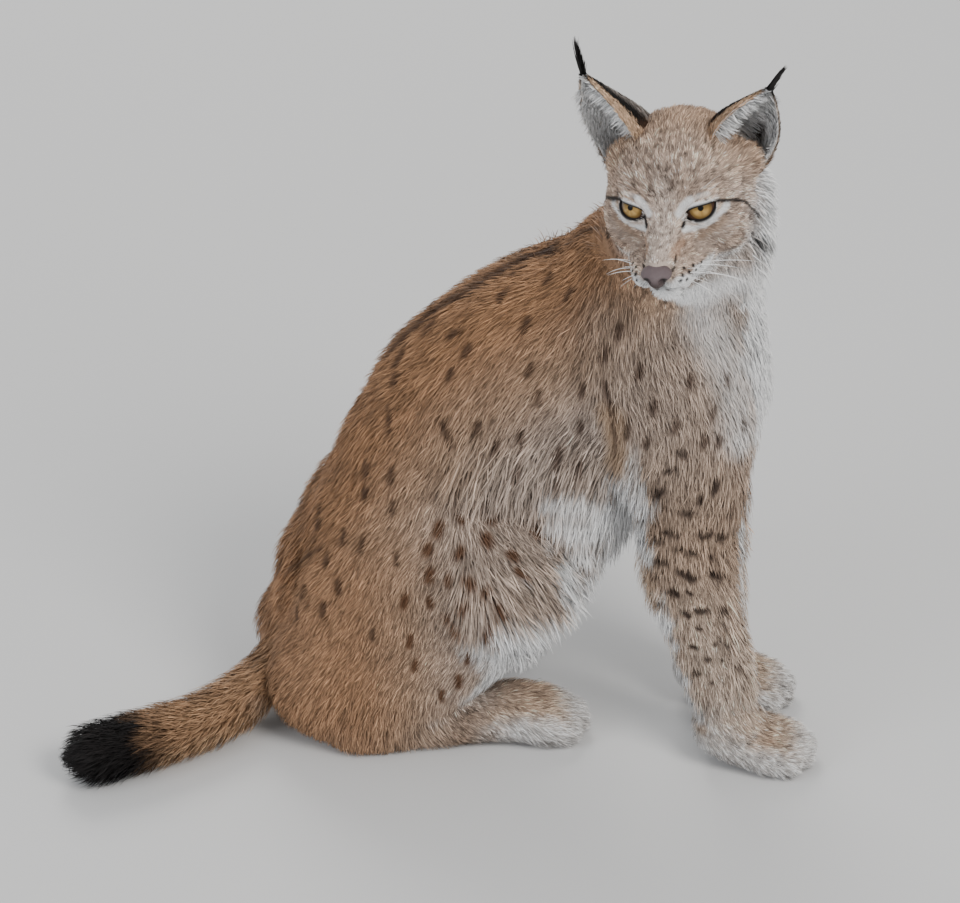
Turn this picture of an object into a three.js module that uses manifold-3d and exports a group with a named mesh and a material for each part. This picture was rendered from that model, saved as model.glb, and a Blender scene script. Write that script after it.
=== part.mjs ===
// A life-size still model of a Eurasian lynx, sitting upright with its head turned over its right shoulder.
// Millimetres, +Z up, +X the way the body faces, +Y the animal's left. The floor is at z = 0.
import * as THREE from "three";
import { mergeVertices } from "three/addons/utils/BufferGeometryUtils.js";
import Module from "manifold-3d";

const wasm = await Module();
wasm.setup();
const { Manifold, Mesh } = wasm;

// Driving dimensions
const GAP = 0.3; // between touching nodes
const SLIVER = 0.05; // facets thinner than this are merged away
const BODY_CELL = 26; // size of the facets on the trunk and legs
const PAW_CELL = 14;
const HEAD_CELL = 14;
const FACE_CELL = 8;
const NOSE_CELL = 4.5;

const SHOULDER_OUT = 62; // from the chest's middle plane to the middle of each shoulder
const FORELEG_OUT = 54;
const HIP_OUT = 62;
const KNEE_OUT = 98;
const HIND_FOOT_OUT = 93;
const PAW_LIFT = 15; // height of a toe's middle, a little less than its radius so that it rests flat
const LEFT_FORE_BACK = 30; // how far the left paws stand behind the right ones
const LEFT_HIND_BACK = 22;

const EYE_RADIUS = 15.5;
const EYE = [-11, 29, -1]; // centre of the left eye in the head's frame
const LID = 2.6; // thickness of the lids
const FACE_BACK = -30; // where the face meets the back of the head
const EAR_THICKNESS = 3;
const TUFT_LOCKS = 3; // in the hair past the tip of an ear

const LOCK_ROWS = 3; // lengths in a lock of the long coat
const LOCK_SINK = 7; // how deep its root starts
const LOCK_THICKNESS = 3;
const LOCK_FLOOR = 4; // the lowest that a lock hangs
const LOCK_START = 0.3; // how high a lock lies at its root, as a share of its lift at the tip
const ROOT_REACH = 60; // how far a row's place may be from the coat that its locks grow on

// Frames: a place, a heading about Z, and for the head a pitch and a roll
const degrees = (angle) => (angle * Math.PI) / 180;
const vec = (x, y, z) => new THREE.Vector3(x, y, z);

function frameAt(origin, heading, pitch = 0, roll = 0) {
  const forward = vec(
    Math.cos(heading) * Math.cos(pitch),
    Math.sin(heading) * Math.cos(pitch),
    Math.sin(pitch),
  );
  const level = vec(-Math.sin(heading), Math.cos(heading), 0);
  const rise = forward.clone().cross(level);
  const left = level.multiplyScalar(Math.cos(roll)).addScaledVector(rise, Math.sin(roll));
  const up = forward.clone().cross(left);
  return new THREE.Matrix4().makeBasis(forward, left, up).setPosition(vec(...origin));
}
const place = (frame, x, y, z) => vec(x, y, z).applyMatrix4(frame);
const aim = (frame, x, y, z) => vec(x, y, z).transformDirection(frame);

const WORLD = new THREE.Matrix4();
const PELVIS = frameAt([-125, -8, 0], degrees(8));
const CHEST = frameAt([150, -55, 0], degrees(-8));
const HEAD = frameAt([169, -175, 631], degrees(-106), degrees(-2), degrees(7));

// Fields: each form is a function of a point, negative inside and about the distance outside
function scaledDistance(x, y, z, a, b, c) {
  const k0 = Math.hypot(x / a, y / b, z / c);
  const k1 = Math.hypot(x / (a * a), y / (b * b), z / (c * c));
  return k1 < 1e-9 ? -Math.min(a, b, c) : (k0 * (k0 - 1)) / k1;
}

// An ellipsoid at a place of a frame, turned about the frame's Z and then tipped nose down
function ball(frame, centre, radii, tip = 0, turn = 0) {
  const inverse = frame.clone().multiply(frameAt(centre, degrees(turn), degrees(-tip))).invert();
  const q = vec(0, 0, 0);
  return (p) => {
    q.copy(p).applyMatrix4(inverse);
    return scaledDistance(q.x, q.y, q.z, ...radii);
  };
}

// A smooth tube through rows of [x, y, z, half depth, half width], the width measured along side
function tube(frame, rows, side = [0, 1, 0], steps = 4) {
  const points = rows.map((r) => place(frame, r[0], r[1], r[2]));
  const curve = new THREE.CatmullRomCurve3(points, false, "catmullrom", 0.5);
  const across = aim(frame, ...side);
  const count = (rows.length - 1) * steps;
  const nodes = [];
  for (let i = 0; i <= count; i++) {
    const row = Math.min(Math.floor(i / steps), rows.length - 2);
    const f = i / steps - row;
    const ease = f * f * (3 - 2 * f);
    nodes.push({
      at: curve.getPoint(i / count),
      depth: rows[row][3] * (1 - ease) + rows[row + 1][3] * ease,
      width: rows[row][4] * (1 - ease) + rows[row + 1][4] * ease,
    });
  }
  const segments = [];
  for (let i = 0; i < count; i++) {
    const along = nodes[i + 1].at.clone().sub(nodes[i].at);
    const length = along.length();
    along.divideScalar(length);
    const wide = across.clone().addScaledVector(along, -across.dot(along)).normalize();
    segments.push({ a: nodes[i], b: nodes[i + 1], along, length, wide, deep: wide.clone().cross(along) });
  }
  const d = vec(0, 0, 0);
  return (p) => {
    let best = Infinity;
    let pick = null;
    let at = 0;
    for (const s of segments) {
      d.copy(p).sub(s.a.at);
      const t = Math.min(Math.max(d.dot(s.along) / s.length, 0), 1);
      d.addScaledVector(s.along, -t * s.length);
      const gap = d.lengthSq();
      if (gap < best) [best, pick, at] = [gap, s, t];
    }
    const depth = pick.a.depth + (pick.b.depth - pick.a.depth) * at;
    const width = pick.a.width + (pick.b.width - pick.a.width) * at;
    d.copy(p).sub(pick.a.at).addScaledVector(pick.along, -at * pick.length);
    const end = Math.min(depth, width);
    return scaledDistance(d.dot(pick.along), d.dot(pick.deep), d.dot(pick.wide), end, depth, width);
  };
}

// A union whose joins are filled to a soft radius
function blend(radius, ...fields) {
  return (p) => {
    let total = fields[0](p);
    for (let i = 1; i < fields.length; i++) {
      const next = fields[i](p);
      const h = Math.max(radius - Math.abs(total - next), 0) / radius;
      total = Math.min(total, next) - h * h * radius * 0.25;
    }
    return total;
  };
}

// A field with another scooped out of it to a soft edge
function scoop(radius, field, tool) {
  return (p) => {
    const a = field(p);
    const b = -tool(p);
    const h = Math.max(radius - Math.abs(a - b), 0) / radius;
    return Math.max(a, b) + h * h * radius * 0.25;
  };
}
const either = (...fields) => (p) => fields.reduce((low, field) => Math.min(low, field(p)), Infinity);
const grown = (field, amount) => (p) => field(p) - amount;

// The trunk from the rump up the spine to the nape, as [x, y, z, half depth, half width]
const trunk = blend(
  50,
  tube(WORLD, [
    [-140, -12, 80, 72, 80],
    [-110, -9, 132, 86, 92],
    [-76, -8, 212, 93, 94],
    [-38, -10, 282, 103, 92],
    [6, -18, 342, 116, 90],
    [62, -32, 394, 117, 90],
    [130, -44, 441, 116, 88],
    [170, -60, 500, 98, 80],
    [192, -82, 552, 84, 74],
    [188, -108, 606, 60, 62],
  ]),
  ball(CHEST, [46, 0, 398], [86, 76, 108]),
  ball(WORLD, [90, -40, 290], [64, 60, 90]),
);

function foreleg(side) {
  const back = side > 0 ? LEFT_FORE_BACK : 0;
  const leg = tube(CHEST, [
    [-6, side * 46, 478, 46, 34],
    [34, side * SHOULDER_OUT, 426, 62, 40],
    [56, side * (SHOULDER_OUT + 3), 372, 60, 42],
    [62, side * (SHOULDER_OUT + 3), 316, 56, 41],
    [60, side * SHOULDER_OUT, 262, 50, 37],
    [62, side * (SHOULDER_OUT - 3), 205, 45, 33],
    [78 - back * 0.4, side * (FORELEG_OUT + 2), 145, 37, 30],
    [94 - back * 0.7, side * FORELEG_OUT, 88, 31, 29],
    [106 - back, side * FORELEG_OUT, 50, 28, 32],
  ]);
  return { leg, paw: forepaw(side, back) };
}

// Four toes side by side from x forward, the outer two a little shorter
function toes(frame, x, y, length, radius, spread) {
  return [-1.5, -0.5, 0.5, 1.5].map((k) => {
    const short = Math.abs(k) > 1 ? 11 : 0;
    return tube(frame, [
      [x, y + k * spread * 0.7, PAW_LIFT + 8, radius, radius],
      [x + length * 0.6 - short, y + k * spread, PAW_LIFT + 5, radius * 1.08, radius],
      [x + length - short, y + k * spread, PAW_LIFT, radius * 0.98, radius * 0.95],
    ]);
  });
}

function forepaw(side, back) {
  const y = side * FORELEG_OUT;
  const x = 102 - back;
  const palm = tube(CHEST, [
    [x - 6, y, 36, 30, 33],
    [x + 12, y, 28, 29, 38],
    [x + 32, y, 22, 25, 38],
  ]);
  return blend(8, palm, ...toes(CHEST, x + 22, y, 50, 17.5, 17.5));
}

function hindleg(side) {
  const back = side > 0 ? LEFT_HIND_BACK : 0;
  const knee = side * KNEE_OUT;
  const foot = side * HIND_FOOT_OUT;
  const leg = blend(
    44,
    tube(PELVIS, [
      [4, side * HIP_OUT, 122, 82, 54],
      [64 - back, side * 82, 162, 90, 50],
      [118 - back, knee, 202, 76, 46],
      [150 - back, knee, 218, 56, 38],
    ]),
    tube(PELVIS, [
      [150 - back, knee, 214, 52, 34],
      [130 - back, knee, 150, 50, 38],
      [72 - back, side * 95, 90, 50, 40],
      [14, side * 90, 44, 40, 38],
    ]),
    ball(PELVIS, [-30, side * HIP_OUT, 62], [66, 54, 65]),
  );
  const sole = blend(
    10,
    tube(PELVIS, [
      [-8, foot, 26, 28, 28],
      [45 - back * 0.5, foot, 24, 27, 29],
      [105 - back, foot, 25, 28, 32],
      [146 - back, foot, 27, 30, 38],
      [172 - back, foot, 22, 25, 39],
    ]),
    ...toes(PELVIS, 158 - back, foot, 46, 17.5, 17.5),
  );
  return { leg, sole };
}

const tail = tube(WORLD, [
  [-158, -18, 76, 32, 34],
  [-202, -38, 50, 33, 33],
  [-238, -72, 36, 33, 33],
  [-275, -104, 31, 33, 34],
  [-322, -134, 31, 34, 36],
  [-372, -160, 31, 34, 36],
]);

// The head in its own frame: x forward from between the eyes, y to its left, z up
const mirrored = (make) => [make(1), make(-1)];
const skull = blend(
  24,
  ball(HEAD, [-66, 2, 8], [62, 62, 61]),
  ball(HEAD, [-30, 0, 22], [36, 46, 32], 14),
  tube(HEAD, [
    [-25, 0, -14, 27, 32],
    [5, 0, -20, 20, 22],
    [30, 0, -29, 15, 17],
    [46, 0, -36, 11, 13],
  ]),
  ...mirrored((s) => ball(HEAD, [-46, s * 40, -24], [40, 28, 33], 0, s * 10)),
);
const muzzle = blend(
  8,
  skull,
  ...mirrored((s) => ball(HEAD, [31, s * 14, -45], [24, 18, 14], 10, s * -8)),
  ...mirrored((s) => ball(HEAD, [8, s * 25, -46], [27, 15, 14], 0, s * -12)),
);
const lidRadius = EYE_RADIUS + LID;
const brow = blend(
  7,
  muzzle,
  ...mirrored((s) => ball(HEAD, [EYE[0], s * EYE[1], EYE[2]], [lidRadius, lidRadius, lidRadius])),
);
const jaw = tube(HEAD, [
  [-52, 0, -50, 26, 44],
  [-8, 0, -60, 16, 27],
  [24, 3, -64, 11, 20],
  [36, 5, -64, 9, 16],
]);
const cheekHair = blend(
  16,
  ball(HEAD, [-94, 48, -28], [30, 28, 46], 0, 12),
  ball(HEAD, [-92, -46, -28], [30, 28, 46], 0, -12),
  ball(HEAD, [-80, 0, -46], [42, 52, 38]),
);
const headField = blend(18, blend(3, brow, jaw), cheekHair);

const nosePad = blend(
  4,
  ball(HEAD, [50, 0, -33], [12, 15, 7], 20),
  ball(HEAD, [51, 0, -41], [11, 9, 8]),
);
const nose = mirrored((s) => ball(HEAD, [62, s * 8, -39], [7, 3.6, 4], 0, s * 30)).reduce(
  (field, nostril) => scoop(2, field, nostril),
  nosePad,
);

const legs = [-1, 1].map((side) => ({ side, fore: foreleg(side), hind: hindleg(side) }));
const bodyField = either(
  ...legs.map((l) => blend(46, trunk, l.fore.leg)),
  ...legs.map((l) => blend(22, l.fore.leg, l.fore.paw)),
  ...legs.map((l) => blend(50, trunk, l.hind.leg)),
  ...legs.map((l) => blend(16, l.hind.leg, l.hind.sole)),
  blend(40, trunk, tail),
);
const wholeField = blend(36, bodyField, headField);

// Faceting: one vertex in each grid cell that a field's surface crosses
const CORNERS = [0, 1, 2, 3, 4, 5, 6, 7].map((c) => [c & 1, (c >> 1) & 1, c >> 2]);
const EDGES = CORNERS.flatMap((_, a) => [1, 2, 4].filter((bit) => !(a & bit)).map((bit) => [a, a | bit]));

// True where one smooth sheet crosses a cell whose corners inside the form are the bits of mask
function oneSheet(mask) {
  const linked = (bits) => {
    const start = [0, 1, 2, 3, 4, 5, 6, 7].find((c) => (bits >> c) & 1);
    if (start === undefined) return true;
    let seen = 1 << start;
    for (let pass = 0; pass < 7; pass++)
      for (const [a, b] of EDGES) {
        if (!((bits >> a) & 1) || !((bits >> b) & 1)) continue;
        if ((seen >> a) & 1 || (seen >> b) & 1) seen |= (1 << a) | (1 << b);
      }
    return seen === bits;
  };
  const crossed = [1, 2, 4].some((u) => {
    const [v, w] = [1, 2, 4].filter((bit) => bit !== u);
    return [0, u].some((base) => {
      const ring = [base, base | v, base | v | w, base | w].map((c) => (mask >> c) & 1);
      return ring[0] === ring[2] && ring[1] === ring[3] && ring[0] !== ring[1];
    });
  });
  return !crossed && linked(mask) && linked(255 & ~mask);
}
const CLEAN_CELLS = Array.from({ length: 256 }, (_, mask) => oneSheet(mask));

// Fills the corner nearest the surface wherever two sheets would touch inside one cell
function fillPinches(value, n, index) {
  for (let pass = 0, changed = true; changed && pass < 20; pass++) {
    changed = false;
    for (let k = 0; k < n[2] - 1; k++)
      for (let j = 0; j < n[1] - 1; j++)
        for (let i = 0; i < n[0] - 1; i++) {
          const at = CORNERS.map((c) => index(i + c[0], j + c[1], k + c[2]));
          const mask = at.reduce((bits, spot, c) => bits | ((value[spot] < 0 ? 1 : 0) << c), 0);
          if (CLEAN_CELLS[mask]) continue;
          const outside = at.filter((spot) => value[spot] >= 0);
          const nearest = outside.reduce((best, spot) => (value[spot] < value[best] ? spot : best));
          value[nearest] = -1e-3;
          changed = true;
        }
  }
}

function gradient(field, p, step = 0.5) {
  const g = vec(0, 0, 0);
  for (const axis of ["x", "y", "z"]) {
    const q = p.clone();
    q[axis] += step;
    const ahead = field(q);
    q[axis] -= 2 * step;
    g[axis] = (ahead - field(q)) / (2 * step);
  }
  return g;
}

// Moves a point onto the field's surface, by no more than reach
function settle(field, p, reach) {
  const start = p.clone();
  for (let i = 0; i < 3; i++) {
    const g = gradient(field, p);
    const size = g.lengthSq();
    if (size < 1e-6) break;
    p.addScaledVector(g, -field(p) / size);
    const off = p.clone().sub(start);
    if (off.length() > reach) p.copy(start).addScaledVector(off, reach / off.length());
  }
}

function facet(field, low, high, cell) {
  const n = [0, 1, 2].map((i) => Math.ceil((high[i] - low[i]) / cell) + 1);
  const index = (i, j, k) => (k * n[1] + j) * n[0] + i;
  const value = new Float64Array(n[0] * n[1] * n[2]);
  const p = vec(0, 0, 0);
  for (let k = 0; k < n[2]; k++)
    for (let j = 0; j < n[1]; j++)
      for (let i = 0; i < n[0]; i++) {
        p.set(low[0] + i * cell, low[1] + j * cell, low[2] + k * cell);
        const rim = i === 0 || j === 0 || k === 0 || i === n[0] - 1 || j === n[1] - 1 || k === n[2] - 1;
        value[index(i, j, k)] = rim ? cell / 2 : field(p);
      }
  fillPinches(value, n, index);
  const spot = new Map();
  const positions = [];
  const vertexOf = (i, j, k) => {
    const key = index(i, j, k);
    if (spot.has(key)) return spot.get(key);
    const sum = vec(0, 0, 0);
    let hits = 0;
    for (const [a, b] of EDGES) {
      const [ca, cb] = [CORNERS[a], CORNERS[b]];
      const va = value[index(i + ca[0], j + ca[1], k + ca[2])];
      const vb = value[index(i + cb[0], j + cb[1], k + cb[2])];
      if (va < 0 === vb < 0) continue;
      const t = va / (va - vb);
      sum.x += i + ca[0] + (cb[0] - ca[0]) * t;
      sum.y += j + ca[1] + (cb[1] - ca[1]) * t;
      sum.z += k + ca[2] + (cb[2] - ca[2]) * t;
      hits++;
    }
    sum.multiplyScalar(cell / hits).add(vec(...low));
    const rim = i === 0 || j === 0 || k === 0 || i === n[0] - 2 || j === n[1] - 2 || k === n[2] - 2;
    if (!rim) settle(field, sum, cell * 0.3);
    positions.push(sum.x, sum.y, sum.z);
    spot.set(key, positions.length / 3 - 1);
    return spot.get(key);
  };
  const turns = [
    [[1, 0, 0], [0, 1, 0], [0, 0, 1]],
    [[0, 1, 0], [0, 0, 1], [1, 0, 0]],
    [[0, 0, 1], [1, 0, 0], [0, 1, 0]],
  ];
  const faces = [];
  for (let k = 0; k < n[2] - 1; k++)
    for (let j = 0; j < n[1] - 1; j++)
      for (let i = 0; i < n[0] - 1; i++) {
        const here = value[index(i, j, k)] < 0;
        for (const [a, b, c] of turns) {
          const there = value[index(i + a[0], j + a[1], k + a[2])] < 0;
          if (here === there) continue;
          const cells = [[0, 0], [1, 0], [1, 1], [0, 1]].map(([u, v]) =>
            vertexOf(i - u * b[0] - v * c[0], j - u * b[1] - v * c[1], k - u * b[2] - v * c[2]),
          );
          if (!here) cells.reverse();
          const at = cells.map((v) => vec(...positions.slice(v * 3, v * 3 + 3)));
          const [q0, q1, q2, q3] = cells;
          if (at[0].distanceToSquared(at[2]) < at[1].distanceToSquared(at[3])) faces.push(q0, q1, q2, q0, q2, q3);
          else faces.push(q0, q1, q3, q1, q2, q3);
        }
      }
  return new Manifold(
    new Mesh({ numProp: 3, vertProperties: new Float32Array(positions), triVerts: new Uint32Array(faces) }),
  );
}

// Solids from three.js geometries
function solidOf(geometry, matrix = WORLD) {
  const bare = geometry.clone().applyMatrix4(matrix);
  bare.deleteAttribute("normal");
  bare.deleteAttribute("uv");
  const merged = mergeVertices(bare, 1e-4);
  return new Manifold(
    new Mesh({
      numProp: 3,
      vertProperties: new Float32Array(merged.attributes.position.array),
      triVerts: new Uint32Array(merged.index.array),
    }),
  );
}
const largest = (solid) => solid.decompose().reduce((a, b) => (a.volume() > b.volume() ? a : b));
const onFloor = (solid) => solid.trimByPlane([0, 0, 1], 0);

// Keeps the part of a solid ahead of a plane through a place of a frame, half a gap clear of it
function ahead(solid, frame, at, normal) {
  const n = aim(frame, ...normal);
  return solid.trimByPlane(n.toArray(), n.dot(place(frame, ...at)) + GAP / 2);
}

// A thin cut: a box GAP thick at a place of a frame, facing normal, wide along side and tall across it
function slab(frame, at, normal, wide, tall, side = [0, 1, 0]) {
  const z = aim(frame, ...normal);
  const x = aim(frame, ...side);
  x.addScaledVector(z, -x.dot(z)).normalize();
  const matrix = new THREE.Matrix4().makeBasis(x, z.clone().cross(x), z).setPosition(place(frame, ...at));
  return solidOf(new THREE.BoxGeometry(wide, tall, GAP), matrix);
}

// A plug that takes a limb's root off the trunk: an outline in the frame's XZ plane, from inner outward
function plug(frame, outline, inner, side, grow) {
  const middle = outline.reduce((sum, p) => sum.add(new THREE.Vector2(...p)), new THREE.Vector2());
  middle.divideScalar(outline.length);
  const points = outline.map((p) => {
    const q = new THREE.Vector2(...p);
    return q.add(q.clone().sub(middle).setLength(grow));
  });
  const shape = new THREE.Shape(new THREE.SplineCurve(points).getPoints(18));
  const depth = 200;
  const geometry = new THREE.ExtrudeGeometry(shape, { depth, bevelEnabled: false, steps: 1 });
  const start = side > 0 ? inner - grow : grow - inner - depth;
  const stand = new THREE.Matrix4().makeRotationX(Math.PI / 2).setPosition(0, start + depth, 0);
  return solidOf(geometry, frame.clone().multiply(stand));
}

function cutPlug(solid, frame, outline, inner, side) {
  return solid.subtract(plug(frame, outline, inner, side, GAP).subtract(plug(frame, outline, inner, side, 0)));
}

const THIGH_OUTLINE = [
  [224, -60], [226, 190], [212, 258], [160, 302], [85, 296], [0, 248], [-58, 170], [-82, 80], [-84, -60],
];
const THIGH_INNER = 40;
const ELBOW = 250;
const SHOULDER_OUTLINE = [
  [130, ELBOW], [134, 310], [130, 385], [98, 464], [38, 508], [-16, 488], [-34, 420], [-26, 330], [-6, ELBOW],
];
const SHOULDER_INNER = 36;

// The places and directions of the cuts, each normal pointing toward the piece named second
const HEAD_CUT = [WORLD, [186, -95, 548], [0.1, -0.45, 0.89]]; // neck and head
const WRIST_CUT = (side) => [CHEST, [92 - (side > 0 ? LEFT_FORE_BACK : 0), side * FORELEG_OUT, 78], [0.22, 0, -1]];
const TOE_CUT = (side) => [PELVIS, [136 - (side > 0 ? LEFT_HIND_BACK : 0), side * 95, 32], [1, 0, 0]];

const slabs = [
  // Hindquarters and loin
  slab(WORLD, [-21, -10, 332.2], [0.225, 0, 0.974], 300, 288),
  // Loin and chest, behind the shoulders
  slab(WORLD, [89, -20, 380], [0.936, 0, 0.353], 300, 366),
  // Chest and neck
  slab(WORLD, [198, -60, 520], [0.6, 0, 0.8], 300, 260),
  slab(HEAD_CUT[0], HEAD_CUT[1], HEAD_CUT[2], 300, 300, [1, 0, 0]),
  // Chest and forearms
  slab(CHEST, [75, 0, ELBOW], [0, 0, 1], 300, 166),
  // Tail and its dark end
  slab(WORLD, [-246, -80, 34], [-0.72, -0.66, -0.2], 90, 90, [0.66, -0.72, 0]),
  slab(WORLD, [-342, -145, 31], [-0.86, -0.5, 0], 100, 100, [0.5, -0.86, 0]),
];
for (const { side } of legs) {
  const far = side > 0 ? LEFT_HIND_BACK : 0;
  slabs.push(slab(...WRIST_CUT(side), 96, 120));
  slabs.push(slab(...TOE_CUT(side), 115, 66));
  slabs.push(slab(PELVIS, [92, side * 95, 58], [-0.08, 0, 1], 115, 262));
  slabs.push(slab(PELVIS, [-38, side * 95, 20], [1, 0, 0], 115, 80));
  slabs.push(slab(PELVIS, [126 - far, side * 95, 138], [-0.62, 0, 0.78], 115, 284));
}

const uncut = onFloor(facet(wholeField, [-440, -300, -30], [390, 200, 800], BODY_CELL));
let whole = uncut;
for (const { side } of legs) {
  whole = cutPlug(whole, PELVIS, THIGH_OUTLINE, THIGH_INNER, side);
  whole = cutPlug(whole, CHEST, SHOULDER_OUTLINE, SHOULDER_INNER, side);
}
const pieces = whole.subtract(Manifold.union(slabs)).decompose();

// The piece of the cut body that holds a place
const taken = new Set();
function pieceAt(frame, at) {
  const probe = solidOf(new THREE.BoxGeometry(2, 2, 2), new THREE.Matrix4().setPosition(place(frame, ...at)));
  const found = pieces.find((piece) => piece.intersect(probe).volume() > 1);
  if (!found || taken.has(found)) throw new Error(`no piece of its own at ${at}`);
  taken.add(found);
  return found;
}

// A finer copy of part of the body, faceted in a box and kept ahead of one cut
function fineSolid(low, high, cell, cut) {
  return largest(ahead(onFloor(facet(wholeField, low, high, cell)), ...cut));
}

function frontPaw(side) {
  const [x, y] = place(CHEST, 125, side * FORELEG_OUT, 0).toArray();
  return fineSolid([x - 85, y - 56, -20], [x + 85, y + 56, 120], PAW_CELL, WRIST_CUT(side));
}
function hindPaw(side) {
  const back = side > 0 ? LEFT_HIND_BACK : 0;
  const [x, y] = place(PELVIS, 176 - back, side * HIND_FOOT_OUT, 0).toArray();
  return fineSolid([x - 70, y - 60, -20], [x + 70, y + 60, 82], PAW_CELL, TOE_CUT(side));
}

// The head: the back at HEAD_CELL, the face at FACE_CELL
const HEAD_LOW = [60, -220, 500];
const HEAD_HIGH = [320, 40, 745];
const faceCut = [HEAD, [FACE_BACK, 0, 0], [1, 0, 0]];
const headBack = (amount) =>
  ahead(
    ahead(facet(grown(wholeField, amount), HEAD_LOW, HEAD_HIGH, HEAD_CELL), ...HEAD_CUT),
    HEAD, [FACE_BACK, 0, 0], [-1, 0, 0],
  );

const eyeFrame = (side) => {
  const gaze = vec(0.92, side * 0.36, 0.12).normalize();
  const outward = vec(-0.38, side * 0.83, 0.42);
  outward.addScaledVector(gaze, -outward.dot(gaze)).normalize();
  const local = new THREE.Matrix4().makeBasis(outward, gaze.clone().cross(outward), gaze);
  local.setPosition(EYE[0], side * EYE[1], EYE[2]);
  return HEAD.clone().multiply(local);
};
const eyeball = (side, radius) => solidOf(new THREE.IcosahedronGeometry(radius, 2), eyeFrame(side));

// The opening between the lids, cut straight out from the middle of the eye
function eyeOpening(side) {
  const up = side; // the frame's second axis points up on the left eye and down on the right
  const half = 15.5;
  const shape = new THREE.Shape();
  shape.moveTo(-half, 0);
  shape.quadraticCurveTo(-2, up * 13.5, half, 0);
  shape.quadraticCurveTo(0, up * -13, -half, 0);
  const geometry = new THREE.ExtrudeGeometry(shape, { depth: 34, bevelEnabled: false, curveSegments: 7 });
  return solidOf(geometry, eyeFrame(side));
}

const noseSolid = (field) => facet(field, [90, -270, 560], [210, -180, 630], NOSE_CELL);

function faceSolid() {
  let solid = ahead(facet(wholeField, [75, -285, 530], [275, -90, 725], FACE_CELL), ...faceCut);
  solid = largest(ahead(solid, ...HEAD_CUT));
  for (const side of [-1, 1]) {
    solid = solid.subtract(eyeball(side, EYE_RADIUS + GAP)).subtract(eyeOpening(side));
  }
  solid = solid.subtract(noseSolid(grown(nosePad, GAP)));
  const mouth = slab(HEAD, [24, 0, -58], [0.06, 0, 1], 130, 78);
  const jawBack = slab(HEAD, [-14, 0, -78], [1, 0, 0], 130, 46);
  return solid.subtract(mouth).subtract(jawBack).decompose().sort((a, b) => b.volume() - a.volume());
}

// A solid from points and faces that all turn one way, either way round
function closedMesh(positions, faces) {
  const mesh = { numProp: 3, vertProperties: new Float32Array(positions), triVerts: new Uint32Array(faces) };
  const solid = new Manifold(new Mesh(mesh));
  if (solid.volume() > 0) return solid;
  for (let i = 0; i < faces.length; i += 3) [faces[i + 1], faces[i + 2]] = [faces[i + 2], faces[i + 1]];
  return new Manifold(new Mesh({ ...mesh, triVerts: new Uint32Array(faces) }));
}

// Repeatable random numbers between two limits
let draw = 11;
function between(low, high) {
  draw = (draw * 16807) % 2147483647;
  return low + ((high - low) * draw) / 2147483647;
}

// A lock: a flat three-sided strand through a line of points, the last one its tip, flat toward the skin
function lock(line, facings, width, thickness) {
  const rings = line.length - 1;
  const positions = [];
  for (let i = 0; i < rings; i++) {
    const share = i / rings;
    const along = line[i + 1].clone().sub(line[Math.max(i - 1, 0)]).normalize();
    const wide = facings[i].clone().cross(along).normalize();
    const out = along.clone().cross(wide);
    const half = (width / 2) * (0.8 + 1.1 * share - 1.6 * share * share);
    const deep = thickness * (1 - 0.5 * share);
    positions.push(...line[i].clone().addScaledVector(wide, half).addScaledVector(out, -deep * 0.3).toArray());
    positions.push(...line[i].clone().addScaledVector(wide, -half).addScaledVector(out, -deep * 0.3).toArray());
    positions.push(...line[i].clone().addScaledVector(out, deep * 0.7).toArray());
  }
  positions.push(...line[rings].toArray());
  const faces = [0, 1, 2];
  for (let i = 0; i < rings - 1; i++)
    for (const [a, b] of [[0, 1], [1, 2], [2, 0]]) {
      faces.push(i * 3 + b, i * 3 + a, i * 3 + 3 + a);
      faces.push(i * 3 + b, i * 3 + 3 + a, i * 3 + 3 + b);
    }
  const last = (rings - 1) * 3;
  faces.push(last + 1, last, last + 3, last + 2, last + 1, last + 3, last, last + 2, last + 3);
  return closedMesh(positions, faces);
}

// A lock that starts under the coat and lies along flow, rising to lift, or none if it would cross the rest
function combedLock(root, flow, length, width, lift, rest) {
  const line = [];
  const facings = [];
  const p = root.clone();
  settle(grown(wholeField, -LOCK_SINK), p, ROOT_REACH);
  for (let i = 0; i <= LOCK_ROWS; i++) {
    const level = lift * (LOCK_START + ((1 - LOCK_START) * i) / LOCK_ROWS);
    if (i > 0 && wholeField(p) < level) settle(grown(wholeField, level), p, length);
    p.z = Math.max(p.z, LOCK_FLOOR);
    const facing = gradient(wholeField, p).normalize();
    line.push(p.clone());
    facings.push(facing);
    const step = flow.clone().addScaledVector(facing, -Math.min(flow.dot(facing), 0));
    p.addScaledVector(step.normalize(), length / LOCK_ROWS);
  }
  const solid = lock(line, facings, width, LOCK_THICKNESS);
  const near = solid.translate(facings[1].clone().setLength(-GAP).toArray());
  return Manifold.union([solid, near]).intersect(rest).isEmpty() ? [solid] : [];
}

// A row of locks between two places of a frame, all lying about the same way
function lockRow(rest, frame, from, to, count, flow, length, width, lift) {
  return Array.from({ length: count }, (_, i) => (i + 0.5 + between(-0.2, 0.2)) / count).flatMap((t) => {
    const root = place(frame, ...from.map((v, axis) => v + (to[axis] - v) * t));
    const lie = aim(frame, ...flow.map((v) => v + between(-0.12, 0.12)));
    const size = between(0.85, 1.15);
    return combedLock(root, lie, length * size, width * between(0.85, 1.15), lift * size, rest);
  });
}

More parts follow.
